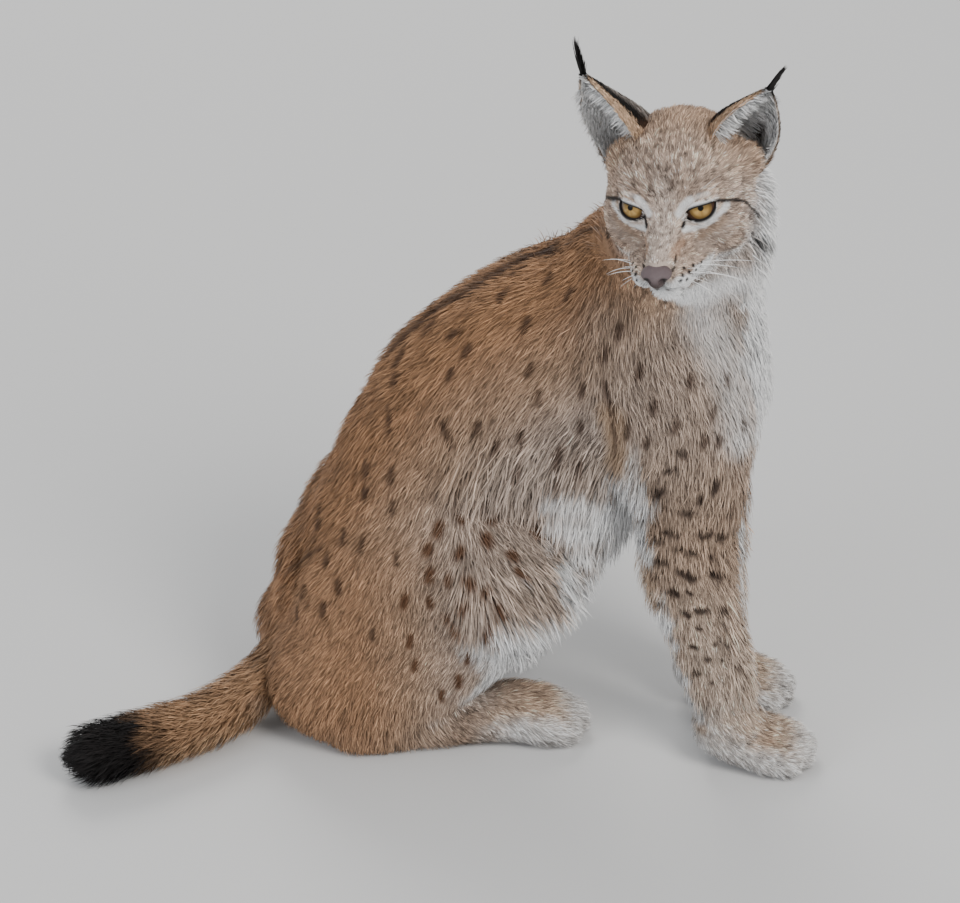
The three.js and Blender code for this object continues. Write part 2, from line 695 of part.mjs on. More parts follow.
// The long coat of each node: rows of locks as frame, from, to, count, flow, length, width, lift
const RUFF = [1, -1].flatMap((s) => [
  [HEAD, [-48, s * 60, 0], [-52, s * 44, -62], 3, [-0.6, s * 0.1, -0.8], 42, 22, 3],
  [HEAD, [-72, s * 66, 2], [-72, s * 52, -60], 3, [-0.4, s * 0.08, -0.9], 48, 24, 4],
  [HEAD, [-94, s * 64, -14], [-92, s * 54, -58], 2, [-0.3, s * 0.08, -0.95], 46, 24, 4],
]);
const CHEST_COAT = [
  [CHEST, [118, -28, 458], [118, 32, 458], 3, [0.05, 0, -1], 48, 24, 3],
  [CHEST, [118, -30, 418], [118, 30, 418], 3, [0, 0, -1], 48, 24, 3],
  [CHEST, [116, -26, 376], [116, 26, 376], 3, [0, 0, -1], 46, 22, 3],
  [CHEST, [112, -24, 336], [112, 24, 336], 3, [0, 0, -1], 44, 20, 4],
];
const NECK_COAT = [
  [WORLD, [224, -150, 524], [268, -62, 530], 4, [0.1, -0.1, -1], 46, 24, 4],
  [CHEST, [110, -30, 492], [112, 44, 492], 4, [0.1, 0, -1], 48, 24, 4],
];
const BELLY_COAT = [
  [WORLD, [112, -84, 240], [136, -64, 244], 2, [-0.2, -0.1, -0.95], 40, 24, 14],
  [WORLD, [110, -44, 212], [138, -40, 228], 2, [-0.2, 0, -0.95], 40, 24, 14],
  [WORLD, [70, 0, 210], [128, -8, 232], 3, [-0.2, 0.1, -0.95], 40, 24, 14],
];
const TAIL_COAT = [
  [WORLD, [-340, -168, 62], [-364, -132, 62], 3, [-0.86, -0.5, -0.25], 44, 24, 3],
  [WORLD, [-334, -181, 40], [-334, -181, 30], 1, [-0.86, -0.5, 0], 44, 24, 3],
  [WORLD, [-370, -119, 40], [-370, -119, 30], 1, [-0.86, -0.5, 0], 44, 24, 3],
];
const KNEE_COAT = (s, far) => [
  [PELVIS, [190 - far, s * 84, 240], [200 - far, s * 104, 214], 2, [0, 0, -1], 36, 20, 4],
];
const SHANK_COAT = (s, far) => [
  [PELVIS, [184 - far, s * 95, 124], [126 - far, s * 95, 70], 3, [0, 0, -1], 30, 22, 4],
];
const FORELEG_COAT = (s, back) => [
  [CHEST, [14, s * 60, 222], [44 - back * 0.5, s * 54, 128], 3, [-0.15, 0, -1], 34, 18, 3],
];

// A node with its rows of locks, which stay clear of the rest of the body and of the nodes coated before it
const coats = [];
function coated(solid, rows, rest = uncut.subtract(solid)) {
  const around = Manifold.union([rest, ...coats]).asOriginal();
  const coat = largest(Manifold.union([solid, ...rows.flatMap((row) => lockRow(around, ...row))])).asOriginal();
  coats.push(coat);
  return coat;
}

// A closed sheet between an outer and an inner grid of points, split into triangles alike on both faces
function sheet(rows, columns, outer, inner) {
  const positions = [];
  for (const skin of [outer, inner])
    for (let i = 0; i <= rows; i++)
      for (let j = 0; j <= columns; j++) positions.push(...skin(i / rows, (2 * j) / columns - 1).toArray());
  const half = (rows + 1) * (columns + 1);
  const at = (i, j, face) => face * half + i * (columns + 1) + j;
  const faces = [];
  const quad = (a, b, c, d) => faces.push(a, b, c, a, c, d);
  for (let i = 0; i < rows; i++)
    for (let j = 0; j < columns; j++) {
      quad(at(i, j, 0), at(i, j + 1, 0), at(i + 1, j + 1, 0), at(i + 1, j, 0));
      faces.push(at(i, j, 1), at(i + 1, j + 1, 1), at(i, j + 1, 1));
      faces.push(at(i, j, 1), at(i + 1, j, 1), at(i + 1, j + 1, 1));
    }
  for (let i = 0; i < rows; i++) {
    quad(at(i, 0, 0), at(i + 1, 0, 0), at(i + 1, 0, 1), at(i, 0, 1));
    quad(at(i + 1, columns, 0), at(i, columns, 0), at(i, columns, 1), at(i + 1, columns, 1));
  }
  for (let j = 0; j < columns; j++) {
    quad(at(0, j + 1, 0), at(0, j, 0), at(0, j, 1), at(0, j + 1, 1));
    quad(at(rows, j, 0), at(rows, j + 1, 0), at(rows, j + 1, 1), at(rows, j, 1));
  }
  return closedMesh(positions, faces);
}

// Ears, in the head's frame: a cupped sheet from a base in the head to a tip, its hollow toward opening, with
// hair past the tip that bends toward lean
const EARS = {
  left: {
    base: [-54, 52, 20],
    tip: [-50, 94, 98],
    opening: [0.86, 0.42, 0.1],
    half: 33,
    hair: 30,
    lean: [-0.8, 0.3, -0.4],
  },
  right: {
    base: [-54, -50, 20],
    tip: [-48, -78, 112],
    opening: [0.66, -0.75, 0.05],
    half: 33,
    hair: 38,
    lean: [0, 0.95, 0.3],
  },
};
function earSolid({ base, tip, opening, half, hair, lean }) {
  const root = place(HEAD, ...base);
  const axis = place(HEAD, ...tip).sub(root);
  const height = axis.length();
  axis.divideScalar(height);
  const front = aim(HEAD, ...opening);
  front.addScaledVector(axis, -front.dot(axis)).normalize();
  const wide = axis.clone().cross(front);
  const point = (s, t, depth) => {
    const width = half * (1 - s ** 2.1) ** 0.85 * (0.86 + 0.5 * s * (1 - s)) + 1.6;
    const spread = degrees(122 - 50 * s);
    const radius = width / Math.sin(Math.min(spread, Math.PI / 2));
    const angle = t * spread;
    const reach = radius - depth * (1 - 0.45 * s) * (1 - 0.45 * t ** 4);
    return root
      .clone()
      .addScaledVector(axis, height * s)
      .addScaledVector(wide, reach * Math.sin(angle))
      .addScaledVector(front, radius * Math.cos(spread) - reach * Math.cos(angle));
  };
  const shell = sheet(7, 7, (s, t) => point(s, t, 0), (s, t) => point(s, t, EAR_THICKNESS));
  const bend = aim(HEAD, ...lean);
  const tuft = Array.from({ length: TUFT_LOCKS }, (_, i) => {
    const fan = i - (TUFT_LOCKS - 1) / 2;
    const reach = 8 + hair - 5 * Math.abs(fan) + between(-2, 2);
    const line = [0, 0.25, 0.5, 0.75, 1].map((share) =>
      root
        .clone()
        .addScaledVector(axis, height - 8 + reach * share)
        .addScaledVector(bend, hair * 0.3 * share * share)
        .addScaledVector(wide, fan * (2.2 - 1.2 * share))
        .addScaledVector(front, 1.6 - Math.abs(fan) * 0.6),
    );
    return lock(line, line.map(() => front), 6, 2.2);
  });
  return Manifold.union([shell, ...tuft]);
}

const COLOURS = {
  coat: 0x9c7550,
  legs: 0xa98561,
  pale: 0xcfc3b2,
  dark: 0x1d1a1a,
  nose: 0x7d5f5a,
  eye: 0xc08a3a,
};

const group = new THREE.Group();
function addNode(name, solid, colour, roughness = 0.9) {
  const mesh = largest(solid.asOriginal().simplify(SLIVER)).getMesh();
  const geometry = new THREE.BufferGeometry();
  geometry.setAttribute("position", new THREE.BufferAttribute(new Float32Array(mesh.vertProperties), 3));
  geometry.setIndex(new THREE.BufferAttribute(new Uint32Array(mesh.triVerts), 1));
  const material = new THREE.MeshStandardMaterial({ color: colour, roughness, metalness: 0 });
  const node = new THREE.Mesh(geometry, material);
  node.name = name;
  group.add(node);
}

const headCutNormal = aim(HEAD_CUT[0], ...HEAD_CUT[2]);
const headCutAt = headCutNormal.dot(place(HEAD_CUT[0], ...HEAD_CUT[1])) + GAP / 2;
const underHead = uncut.trimByPlane(headCutNormal.clone().negate().toArray(), -headCutAt);
addNode("head", coated(headBack(0), RUFF, underHead), COLOURS.coat);
addNode("neck", coated(pieceAt(WORLD, [190, -60, 560]), NECK_COAT), COLOURS.coat);
addNode("chest", coated(pieceAt(WORLD, [150, -50, 420]), CHEST_COAT), COLOURS.coat);
addNode("hindquarters", coated(pieceAt(PELVIS, [0, 0, 200]), BELLY_COAT), COLOURS.coat);
addNode("loin", pieceAt(WORLD, [30, -20, 390]), COLOURS.coat);
addNode("tail", pieceAt(WORLD, [-290, -114, 31]), COLOURS.coat);
addNode("tail_tip", coated(pieceAt(WORLD, [-368, -158, 31]), TAIL_COAT), COLOURS.dark);
for (const { side } of legs) {
  const hand = side > 0 ? "left" : "right";
  const far = side > 0 ? LEFT_HIND_BACK : 0;
  const back = side > 0 ? LEFT_FORE_BACK : 0;
  addNode(`shoulder_${hand}`, pieceAt(CHEST, [30, side * 70, 400]), COLOURS.coat);
  addNode(`forearm_${hand}`, coated(pieceAt(CHEST, [62, side * 58, 200]), FORELEG_COAT(side, back)), COLOURS.legs);
  addNode(`front_paw_${hand}`, frontPaw(side), COLOURS.pale);
  addNode(`thigh_${hand}`, coated(pieceAt(PELVIS, [40, side * 80, 180]), KNEE_COAT(side, far)), COLOURS.coat);
  addNode(`lower_leg_${hand}`, coated(pieceAt(PELVIS, [100 - far, side * 95, 85]), SHANK_COAT(side, far)), COLOURS.pale);
  addNode(`hind_foot_${hand}`, pieceAt(PELVIS, [50, side * 90, 28]), COLOURS.legs);
  addNode(`hind_paw_${hand}`, hindPaw(side), COLOURS.pale);
}

const [face, lowerJaw] = faceSolid();
addNode("face", face, COLOURS.legs);
addNode("lower_jaw", lowerJaw, COLOURS.pale);
addNode("nose", largest(noseSolid(nose)), COLOURS.nose, 0.45);
const aroundHead = headBack(GAP);
for (const [hand, side] of [["left", 1], ["right", -1]]) {
  addNode(`eye_${hand}`, eyeball(side, EYE_RADIUS), COLOURS.eye, 0.1);
  addNode(`ear_${hand}`, largest(earSolid(EARS[hand]).subtract(aroundHead)), COLOURS.dark);
}

// The origin is under the middle of the whole animal
const box = new THREE.Box3().setFromObject(group);
group.position.set(-(box.min.x + box.max.x) / 2, -(box.min.y + box.max.y) / 2, 0);
export default group;
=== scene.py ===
"""The looks of the lynx: one skin under a coat of tufts, with eyes, nose and whiskers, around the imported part.

Lengths are in millimetres in the frame of the part's fields, and become metres where a mesh is made.
"""

import bpy
import numpy as np
import openvdb
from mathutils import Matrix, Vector
from mathutils.bvhtree import BVHTree


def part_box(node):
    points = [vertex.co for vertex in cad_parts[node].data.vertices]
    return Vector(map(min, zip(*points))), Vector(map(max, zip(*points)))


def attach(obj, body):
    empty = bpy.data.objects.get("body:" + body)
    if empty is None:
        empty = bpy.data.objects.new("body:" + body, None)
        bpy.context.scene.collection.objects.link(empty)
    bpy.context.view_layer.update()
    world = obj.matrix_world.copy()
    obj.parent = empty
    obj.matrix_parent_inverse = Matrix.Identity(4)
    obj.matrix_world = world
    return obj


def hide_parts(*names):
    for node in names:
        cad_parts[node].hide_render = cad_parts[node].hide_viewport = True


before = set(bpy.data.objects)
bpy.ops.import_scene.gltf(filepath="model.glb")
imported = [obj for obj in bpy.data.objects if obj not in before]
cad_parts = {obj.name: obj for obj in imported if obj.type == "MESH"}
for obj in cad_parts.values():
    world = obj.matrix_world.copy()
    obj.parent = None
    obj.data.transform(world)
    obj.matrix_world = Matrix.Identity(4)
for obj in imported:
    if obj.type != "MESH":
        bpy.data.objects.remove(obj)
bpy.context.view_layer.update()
RANDOM = np.random.default_rng(7)
HAND = {1: "left", -1: "right"}
SIDES = tuple(HAND)

# Driving dimensions, the same as the part's
SHOULDER_OUT = 62
FORELEG_OUT = 54
HIP_OUT = 62
KNEE_OUT = 98
HIND_FOOT_OUT = 93
PAW_LIFT = 15
LEFT_FORE_BACK = 30
LEFT_HIND_BACK = 22
EYE_RADIUS = 15.5
EYE = (-11, 29, -1)

PHOTO_WIDE, PHOTO_HIGH = 960, 903
PIXELS_A_RADIAN = 4590
VIEW_TARGET = np.array([0.0, 0.0, 277.0])
VIEW_DISTANCE = 4500.0
VIEW_HEIGHT = np.radians(30)


# Frames: a place, a heading about Z, a pitch and a roll
def frame_at(origin, heading, pitch=0.0, roll=0.0):
    h, p, r = np.radians([heading, pitch, roll])
    forward = np.array([np.cos(h) * np.cos(p), np.sin(h) * np.cos(p), np.sin(p)])
    level = np.array([-np.sin(h), np.cos(h), 0.0])
    left = level * np.cos(r) + np.cross(forward, level) * np.sin(r)
    matrix = np.eye(4)
    matrix[:3, :3] = np.column_stack([forward, left, np.cross(forward, left)])
    matrix[:3, 3] = origin
    return matrix


def place(matrix, points):
    return np.asarray(points, float) @ matrix[:3, :3].T + matrix[:3, 3]


def local(matrix, points):
    return (points - matrix[:3, 3]) @ matrix[:3, :3]


def unit(v):
    return v / np.maximum(np.linalg.norm(v, axis=-1, keepdims=True), 1e-9)


def aim(matrix, direction):
    return unit(np.asarray(direction, float) @ matrix[:3, :3].T)


def norm(v):
    return np.linalg.norm(v, axis=-1)


def dot(a, b):
    return np.einsum("ij,ij->i", a, b)


def flat(v, normal):
    """The part of v that lies across the normal."""
    return v - normal * dot(v, normal)[:, None]


def ease(value, low, high):
    t = np.clip((value - low) / (high - low), 0, 1)
    return t * t * (3 - 2 * t)


def mix(a, b, share):
    return a + (b - a) * np.asarray(share)[..., None]


WORLD = np.eye(4)
PELVIS = frame_at([-125, -8, 0], 8)
CHEST = frame_at([150, -55, 0], -8)
HEAD = frame_at([169, -175, 631], -106, -2, 7)
low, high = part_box("eye_left")
SHIFT = np.array(low + high) * 500 - place(HEAD, EYE)  # from the fields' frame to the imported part's


# Smooth noise on a seeded lattice, from -1 to 1
CELLS = 32  # of the lattice, each way, before it repeats
LATTICE = RANDOM.uniform(-1, 1, (CELLS, CELLS, CELLS))


def noise(p, size, shift=0.0):
    q = p / size + shift
    cell = np.floor(q).astype(int)
    f = q - cell
    f = f * f * (3 - 2 * f)
    total = np.zeros(len(p))
    for c in range(8):
        bits = np.array([c & 1, (c >> 1) & 1, c >> 2])
        weight = np.prod(np.where(bits, f, 1 - f), axis=1)
        at = (cell + bits) % CELLS
        total += weight * LATTICE[at[:, 0], at[:, 1], at[:, 2]]
    return total * 1.6


# Fields: negative inside a form, about the distance outside
FAR = 150.0
REACH = 110.0


def scaled_distance(x, y, z, a, b, c):
    k0 = np.sqrt((x / a) ** 2 + (y / b) ** 2 + (z / c) ** 2)
    k1 = np.sqrt((x / a**2) ** 2 + (y / b**2) ** 2 + (z / c**2) ** 2)
    return np.where(k1 < 1e-9, -np.minimum(np.minimum(a, b), c), k0 * (k0 - 1) / np.maximum(k1, 1e-9))


class Ball:
    """An ellipsoid at a place of a frame, turned about the frame's Z and then tipped nose down."""

    def __init__(self, matrix, centre, radii, tip=0.0, turn=0.0):
        self.frame = matrix @ frame_at(centre, turn, -tip)
        self.radii = radii

    def __call__(self, p):
        out = np.full(len(p), FAR)
        near = np.abs(p - self.frame[:3, 3]).max(1) < max(self.radii) + REACH
        q = local(self.frame, p[near])
        out[near] = scaled_distance(q[:, 0], q[:, 1], q[:, 2], *self.radii)
        return out


TUBE_STEPS = 4  # from a row to the next


class Tube:
    """A smooth tube through rows of [x, y, z, half depth, half width], the width measured along the frame's Y."""

    def __init__(self, matrix, rows):
        rows = np.array(rows, float)
        points = place(matrix, rows[:, :3])
        ends = np.vstack([2 * points[0] - points[1], points, 2 * points[-1] - points[-2]])
        at, sizes = [], []
        for i in range((len(rows) - 1) * TUBE_STEPS + 1):
            row = min(i // TUBE_STEPS, len(rows) - 2)
            f = i / TUBE_STEPS - row
            p0, p1, p2, p3 = ends[row : row + 4]
            t0, t1 = (p2 - p0) / 2, (p3 - p1) / 2
            at.append(p1 + t0 * f + (-3 * p1 + 3 * p2 - 2 * t0 - t1) * f**2 + (2 * p1 - 2 * p2 + t0 + t1) * f**3)
            share = f * f * (3 - 2 * f)
            sizes.append(rows[row, 3:] * (1 - share) + rows[row + 1, 3:] * share)
        self.at, (self.depth, self.width) = np.array(at), np.array(sizes).T
        step = self.at[1:] - self.at[:-1]
        self.length = norm(step)
        self.along = step / self.length[:, None]
        across = aim(matrix, (0, 1, 0))
        self.wide = unit(across - self.along * (self.along @ across)[:, None])
        self.deep = np.cross(self.wide, self.along)
        reach = self.depth.max() + self.width.max() + REACH
        self.low, self.high = self.at.min(0) - reach, self.at.max(0) + reach

    def nearest(self, p):
        """The length of the line nearest to each point, how far along it, and the way from there to the point."""
        middle = self.at.mean(0)
        line = self.at - middle
        node = np.argmin((line**2).sum(1) - 2 * (p - middle) @ line.T, axis=1)
        best = np.full(len(p), np.inf)
        pick = np.zeros(len(p), int)
        share = np.zeros(len(p))
        for beside in (-1, 0):
            i = np.clip(node + beside, 0, len(self.length) - 1)
            d = p - self.at[i]
            t = np.clip(dot(d, self.along[i]) / self.length[i], 0, 1)
            d -= (t * self.length[i])[:, None] * self.along[i]
            gap = dot(d, d)
            closer = gap < best
            best[closer], pick[closer], share[closer] = gap[closer], i[closer], t[closer]
        return pick, share, p - self.at[pick] - self.along[pick] * (share * self.length[pick])[:, None]

    def __call__(self, p):
        out = np.full(len(p), FAR)
        near = ((p > self.low) & (p < self.high)).all(1)
        pick, share, way = self.nearest(p[near])
        depth, width = (v[pick] * (1 - share) + v[pick + 1] * share for v in (self.depth, self.width))
        x, y, z = (dot(way, axis[pick]) for axis in (self.along, self.deep, self.wide))
        out[near] = scaled_distance(x, y, z, np.minimum(depth, width), depth, width)
        return out

    def around(self, p):
        """How far along the tube each point is, from 0 to 1, its direction there, and its share deep and wide."""
        pick, share, way = self.nearest(p)
        deep = dot(way, self.deep[pick]) / self.depth[pick]
        wide = dot(way, self.wide[pick]) / self.width[pick]
        ahead = np.minimum(pick + 1, len(self.along) - 1)
        along = unit(mix(self.along[pick], self.along[ahead], share * 0.5))
        total = np.maximum(np.hypot(deep, wide), 1e-6)
        return (pick + share) / len(self.length), along, deep / total, wide / total


def soft(radius, *values):
    total = values[0]
    for other in values[1:]:
        h = np.maximum(radius - np.abs(total - other), 0) / radius
        total = np.minimum(total, other) - h * h * radius * 0.25
    return total


def scoop(radius, value, tool):
    h = np.maximum(radius - np.abs(value + tool), 0) / radius
    return np.maximum(value, -tool) + h * h * radius * 0.25


class Group:
    """Several fields blended to a soft radius."""

    def __init__(self, radius, *fields):
        self.radius, self.fields = radius, fields

    def __call__(self, p):
        return soft(self.radius, *(field(p) for field in self.fields))


spine = Tube(WORLD, [
    [-140, -12, 80, 72, 80],
    [-110, -9, 132, 86, 92],
    [-76, -8, 212, 93, 94],
    [-38, -10, 282, 103, 92],
    [6, -18, 342, 116, 90],
    [62, -32, 394, 117, 90],
    [130, -44, 441, 116, 88],
    [170, -60, 500, 98, 80],
    [192, -82, 552, 84, 74],
    [188, -108, 606, 60, 62],
])
trunk = Group(50, spine, Ball(CHEST, [46, 0, 398], [86, 76, 108]), Ball(WORLD, [90, -40, 290], [64, 60, 90]))


def toes(matrix, x, y, length, radius, spread):
    made = []
    for k in (-1.5, -0.5, 0.5, 1.5):
        short = 11 if abs(k) > 1 else 0
        made.append(Tube(matrix, [
            [x, y + k * spread * 0.7, PAW_LIFT + 8, radius, radius],
            [x + length * 0.6 - short, y + k * spread, PAW_LIFT + 5, radius * 1.08, radius],
            [x + length - short, y + k * spread, PAW_LIFT, radius * 0.98, radius * 0.95],
        ]))
    return made


class Limbs:
    """The two legs of one side."""

    def __init__(self, side):
        self.side = side
        back = LEFT_FORE_BACK if side > 0 else 0
        y = side * FORELEG_OUT
        self.fore = Tube(CHEST, [
            [-6, side * 46, 478, 46, 34],
            [34, side * SHOULDER_OUT, 426, 62, 40],
            [56, side * (SHOULDER_OUT + 3), 372, 60, 42],
            [62, side * (SHOULDER_OUT + 3), 316, 56, 41],
            [60, side * SHOULDER_OUT, 262, 50, 37],
            [62, side * (SHOULDER_OUT - 3), 205, 45, 33],
            [78 - back * 0.4, side * (FORELEG_OUT + 2), 145, 37, 30],
            [94 - back * 0.7, y, 88, 31, 29],
            [106 - back, y, 50, 28, 32],
        ])
        x = 102 - back
        palm = Tube(CHEST, [[x - 6, y, 36, 30, 33], [x + 12, y, 28, 29, 38], [x + 32, y, 22, 25, 38]])
        self.paw = Group(8, palm, *toes(CHEST, x + 22, y, 50, 17.5, 17.5))
        back = LEFT_HIND_BACK if side > 0 else 0
        knee = side * KNEE_OUT
        foot = side * HIND_FOOT_OUT
        self.thigh = Tube(PELVIS, [
            [4, side * HIP_OUT, 122, 82, 54],
            [64 - back, side * 82, 162, 90, 50],
            [118 - back, knee, 202, 76, 46],
            [150 - back, knee, 218, 56, 38],
        ])
        self.shank = Tube(PELVIS, [
            [150 - back, knee, 214, 52, 34],
            [130 - back, knee, 150, 50, 38],
            [72 - back, side * 95, 90, 50, 40],
            [14, side * 90, 44, 40, 38],
        ])
        self.hind = Group(44, self.thigh, self.shank, Ball(PELVIS, [-30, side * HIP_OUT, 62], [66, 54, 65]))
        self.foot = Tube(PELVIS, [
            [-8, foot, 26, 28, 28],
            [45 - back * 0.5, foot, 24, 27, 29],
            [105 - back, foot, 25, 28, 32],
            [146 - back, foot, 27, 30, 38],
            [172 - back, foot, 22, 25, 39],
        ])
        self.sole = Group(10, self.foot, *toes(PELVIS, 158 - back, foot, 46, 17.5, 17.5))


limbs = [Limbs(-1), Limbs(1)]
tail = Tube(WORLD, [
    [-158, -18, 76, 32, 34],
    [-202, -38, 50, 33, 33],
    [-238, -72, 36, 33, 33],
    [-275, -104, 31, 33, 34],
    [-322, -134, 31, 34, 36],
    [-372, -160, 31, 34, 36],
])

both = lambda make: [make(side) for side in SIDES]
skull = Group(
    24,
    Ball(HEAD, [-66, 2, 8], [62, 62, 61]),
    Ball(HEAD, [-30, 0, 22], [36, 46, 32], 14),
    Tube(HEAD, [[-25, 0, -14, 27, 32], [5, 0, -20, 20, 22], [30, 0, -29, 15, 17], [46, 0, -36, 11, 13]]),
    *both(lambda s: Ball(HEAD, [-46, s * 40, -24], [40, 28, 33], 0, s * 10)),
)
whisker_pads = both(lambda s: Ball(HEAD, [31, s * 14, -45], [24, 18, 14], 10, s * -8))
lip_corners = both(lambda s: Ball(HEAD, [8, s * 25, -46], [27, 15, 14], 0, s * -12))
jaw = Tube(HEAD, [[-52, 0, -50, 26, 44], [-8, 0, -60, 16, 27], [24, 3, -64, 11, 20], [36, 5, -64, 9, 16]])
cheek_hair = Group(
    16,
    Ball(HEAD, [-94, 48, -28], [30, 28, 46], 0, 12),
    Ball(HEAD, [-92, -46, -28], [30, 28, 46], 0, -12),
    Ball(HEAD, [-80, 0, -46], [42, 52, 38]),
)
ear_mounds = [Ball(HEAD, [-56, 61, 22], [19, 21, 21]), Ball(HEAD, [-58, -52, 20], [18, 18, 19])]
eye_spots = {s: place(HEAD, [EYE[0], s * EYE[1], EYE[2]]) for s in SIDES}


def sphere(p, centre, radius):
    return norm(p - centre) - radius


def head_form(p):
    """The head, with its lids."""
    muzzle = soft(8, skull(p), *(pad(p) for pad in whisker_pads + lip_corners))
    brow = soft(7, muzzle, *(sphere(p, spot, EYE_RADIUS + 2.6) for spot in eye_spots.values()))
    form = soft(18, soft(3, brow, jaw(p)), cheek_hair(p))
    return soft(14, form, *(mound(p) for mound in ear_mounds))


def body_parts(p):
    parts = {"trunk": trunk(p), "tail": tail(p)}
    for limb in limbs:
        for name in ("fore", "paw", "hind", "sole"):
            parts[name, limb.side] = getattr(limb, name)(p)
    return parts


def body_form(parts):
    total = soft(40, parts["trunk"], parts["tail"])
    for side in (-1, 1):
        fore, paw, hind, sole = (parts[name, side] for name in ("fore", "paw", "hind", "sole"))
        total = np.minimum(total, soft(46, parts["trunk"], fore))
        total = np.minimum(total, soft(22, fore, paw))
        total = np.minimum(total, soft(50, parts["trunk"], hind))
        total = np.minimum(total, soft(16, hind, sole))
    return total


def forms_at(p):
    return {**body_parts(p), "head": head_form(p)}


def shares_at(p, blur):
    """How much each form counts at each place, 1 in all."""
    forms = forms_at(p)
    values = np.stack(list(forms.values()))
    weights = np.exp(-(values - values.min(0)) / blur)
    return dict(zip(forms, weights / weights.sum(0)))


def coat_depth(p):
    """How far the skin lies under the outline of the coat."""
    depth = 4.0 + 5.0 * ease(p[:, 2], 50, 240)
    back = ease(p[:, 0], -150, -210)
    depth = depth * (1 - back) + 13 * back
    h = local(HEAD, p)
    near = ease(norm(p - place(HEAD, [-30, 0, -20])), 130, 90)
    face = 3.2 + 6.8 * ease(h[:, 0], -28, -95) * (1 - 0.75 * ease(h[:, 2], 10, 45))
    return depth * (1 - near) + face * near


def skin_form(p):
    return soft(36, body_form(body_parts(p)), head_form(p)) + coat_depth(p)


def gradient(field, p, step=0.6):
    here = field(p)
    slope = np.empty_like(p)
    for axis in range(3):
        q = p.copy()
        q[:, axis] += step
        slope[:, axis] = (field(q) - here) / step
    return here, slope


def settled(field, points, most=np.inf):
    """The points moved onto the field's surface, each by no more than most of its slope."""
    value, slope = gradient(field, points)
    return points - slope * np.clip(value / np.maximum(dot(slope, slope), 0.2), -most, most)[:, None]


# The eyes
def eye_frame(side):
    gaze = unit(np.array([0.92, side * 0.36, 0.12]))
    outward = np.array([-0.38, side * 0.83, 0.42])
    outward = unit(outward - gaze * (outward @ gaze))
    matrix = np.eye(4)
    matrix[:3, :3] = np.column_stack([outward, np.cross(gaze, outward) * side, gaze])
    matrix[:3, 3] = [EYE[0], side * EYE[1], EYE[2]]
    return HEAD @ matrix


LID_CORNER = 15.5  # from the middle of the opening to its corners
LID_HIGH = 7.0  # how far the opening reaches above and below the line between its corners
LID_LOW = 7.8


def lids_at(t):
    """The heights of the upper and the lower lid, from the inner corner, 0, to the outer, 1."""
    t = np.clip(t, 0, 1)
    upper = LID_HIGH * (t / 0.3) ** 0.55 * ((1 - t) / 0.7) ** 1.25
    lower = -LID_LOW * (t / 0.56) * ((1 - t) / 0.44) ** 0.8
    return upper, lower


def lid_edge(count):
    """The almond between the lids, as seen along the gaze: outward and up, once round."""
    t = (1 - np.cos(np.linspace(0, np.pi, count // 2, endpoint=False))) / 2
    upper, lower = lids_at(t)[0], lids_at(1 - t)[1]
    x = LID_CORNER * (2 * t - 1)
    return np.vstack([np.column_stack([x, upper]), np.column_stack([-x, lower])])


def opening_value(q):
    """Below 0 between the lids, for places in an eye's own frame."""
    x, y, z = q.T
    upper, lower = lids_at((x / LID_CORNER + 1) / 2)
    value = np.maximum(np.maximum(y - upper, lower - y), np.abs(x) - LID_CORNER)
    return np.where(z > 0, value, 40.0)


def socketed(p):
    """The skin, with a pocket for each eye."""
    value = skin_form(p)
    for side, spot in eye_spots.items():
        near = norm(p - spot) < 40
        q = local(eye_frame(side), p[near])
        form = soft(5, value[near], sphere(p[near], spot, EYE_RADIUS + 1.2))
        value[near] = np.maximum(form, -np.maximum(opening_value(q) - 1.5, 6 - q[:, 2]))
    return value


# One mesh from the fields, on a grid that is finer round the face and the paws
BLOCK = 4  # lines of the fine grid to one of the coarse
CHUNK = 200000


def graded(low, high, zones, coarse):
    places = [low]
    while places[-1] < high:
        x = places[-1]
        steps = [fine + max(start - x, x - end, 0) * 0.1 for start, end, fine in zones]
        places.append(x + min([coarse, *steps]))
    return np.array(places)


def sampled(field, axes):
    """The field on a grid, worked out in full only near its surface."""
    coarse = [np.append(a[:-1:BLOCK], a[-1]) for a in axes]
    values = field(np.stack(np.meshgrid(*coarse, indexing="ij"), -1).reshape(-1, 3))
    values = values.reshape([len(a) for a in coarse])
    for axis in range(3):
        at = np.interp(axes[axis], coarse[axis], np.arange(len(coarse[axis])))
        i = np.minimum(at.astype(int), len(coarse[axis]) - 2)
        f = (at - i).reshape([-1 if k == axis else 1 for k in range(3)])
        values = np.take(values, i, axis) * (1 - f) + np.take(values, i + 1, axis) * f
    x, y, z = np.ix_(*(np.gradient(a) for a in axes))
    near = np.nonzero(np.abs(values) < np.maximum(np.maximum(x, y), z) * BLOCK * 0.9)
    points = np.column_stack([axes[k][near[k]] for k in range(3)])
    for start in range(0, len(points), CHUNK):
        some = slice(start, start + CHUNK)
        values[tuple(index[some] for index in near)] = field(points[some])
    return values.astype(np.float32)


def outward(points, faces, middle=0.0):
    """The faces, turned to look away from the middle."""
    a, b, c = (points[faces[:, k]] - middle for k in range(3))
    return faces if dot(a, np.cross(b, c)).sum() > 0 else faces[:, ::-1]


def surface(field, axes):
    """Points and quads of the field's surface."""
    grid = openvdb.FloatGrid(background=FAR)
    grid.copyFromArray(sampled(field, axes))
    points, quads = grid.convertToQuads(isovalue=0.0)
    points = np.column_stack([np.interp(points[:, k], np.arange(len(axes[k])), axes[k]) for k in range(3)])
    points = settled(field, points, 1.2)
    return points, outward(points, quads.astype(np.int64))


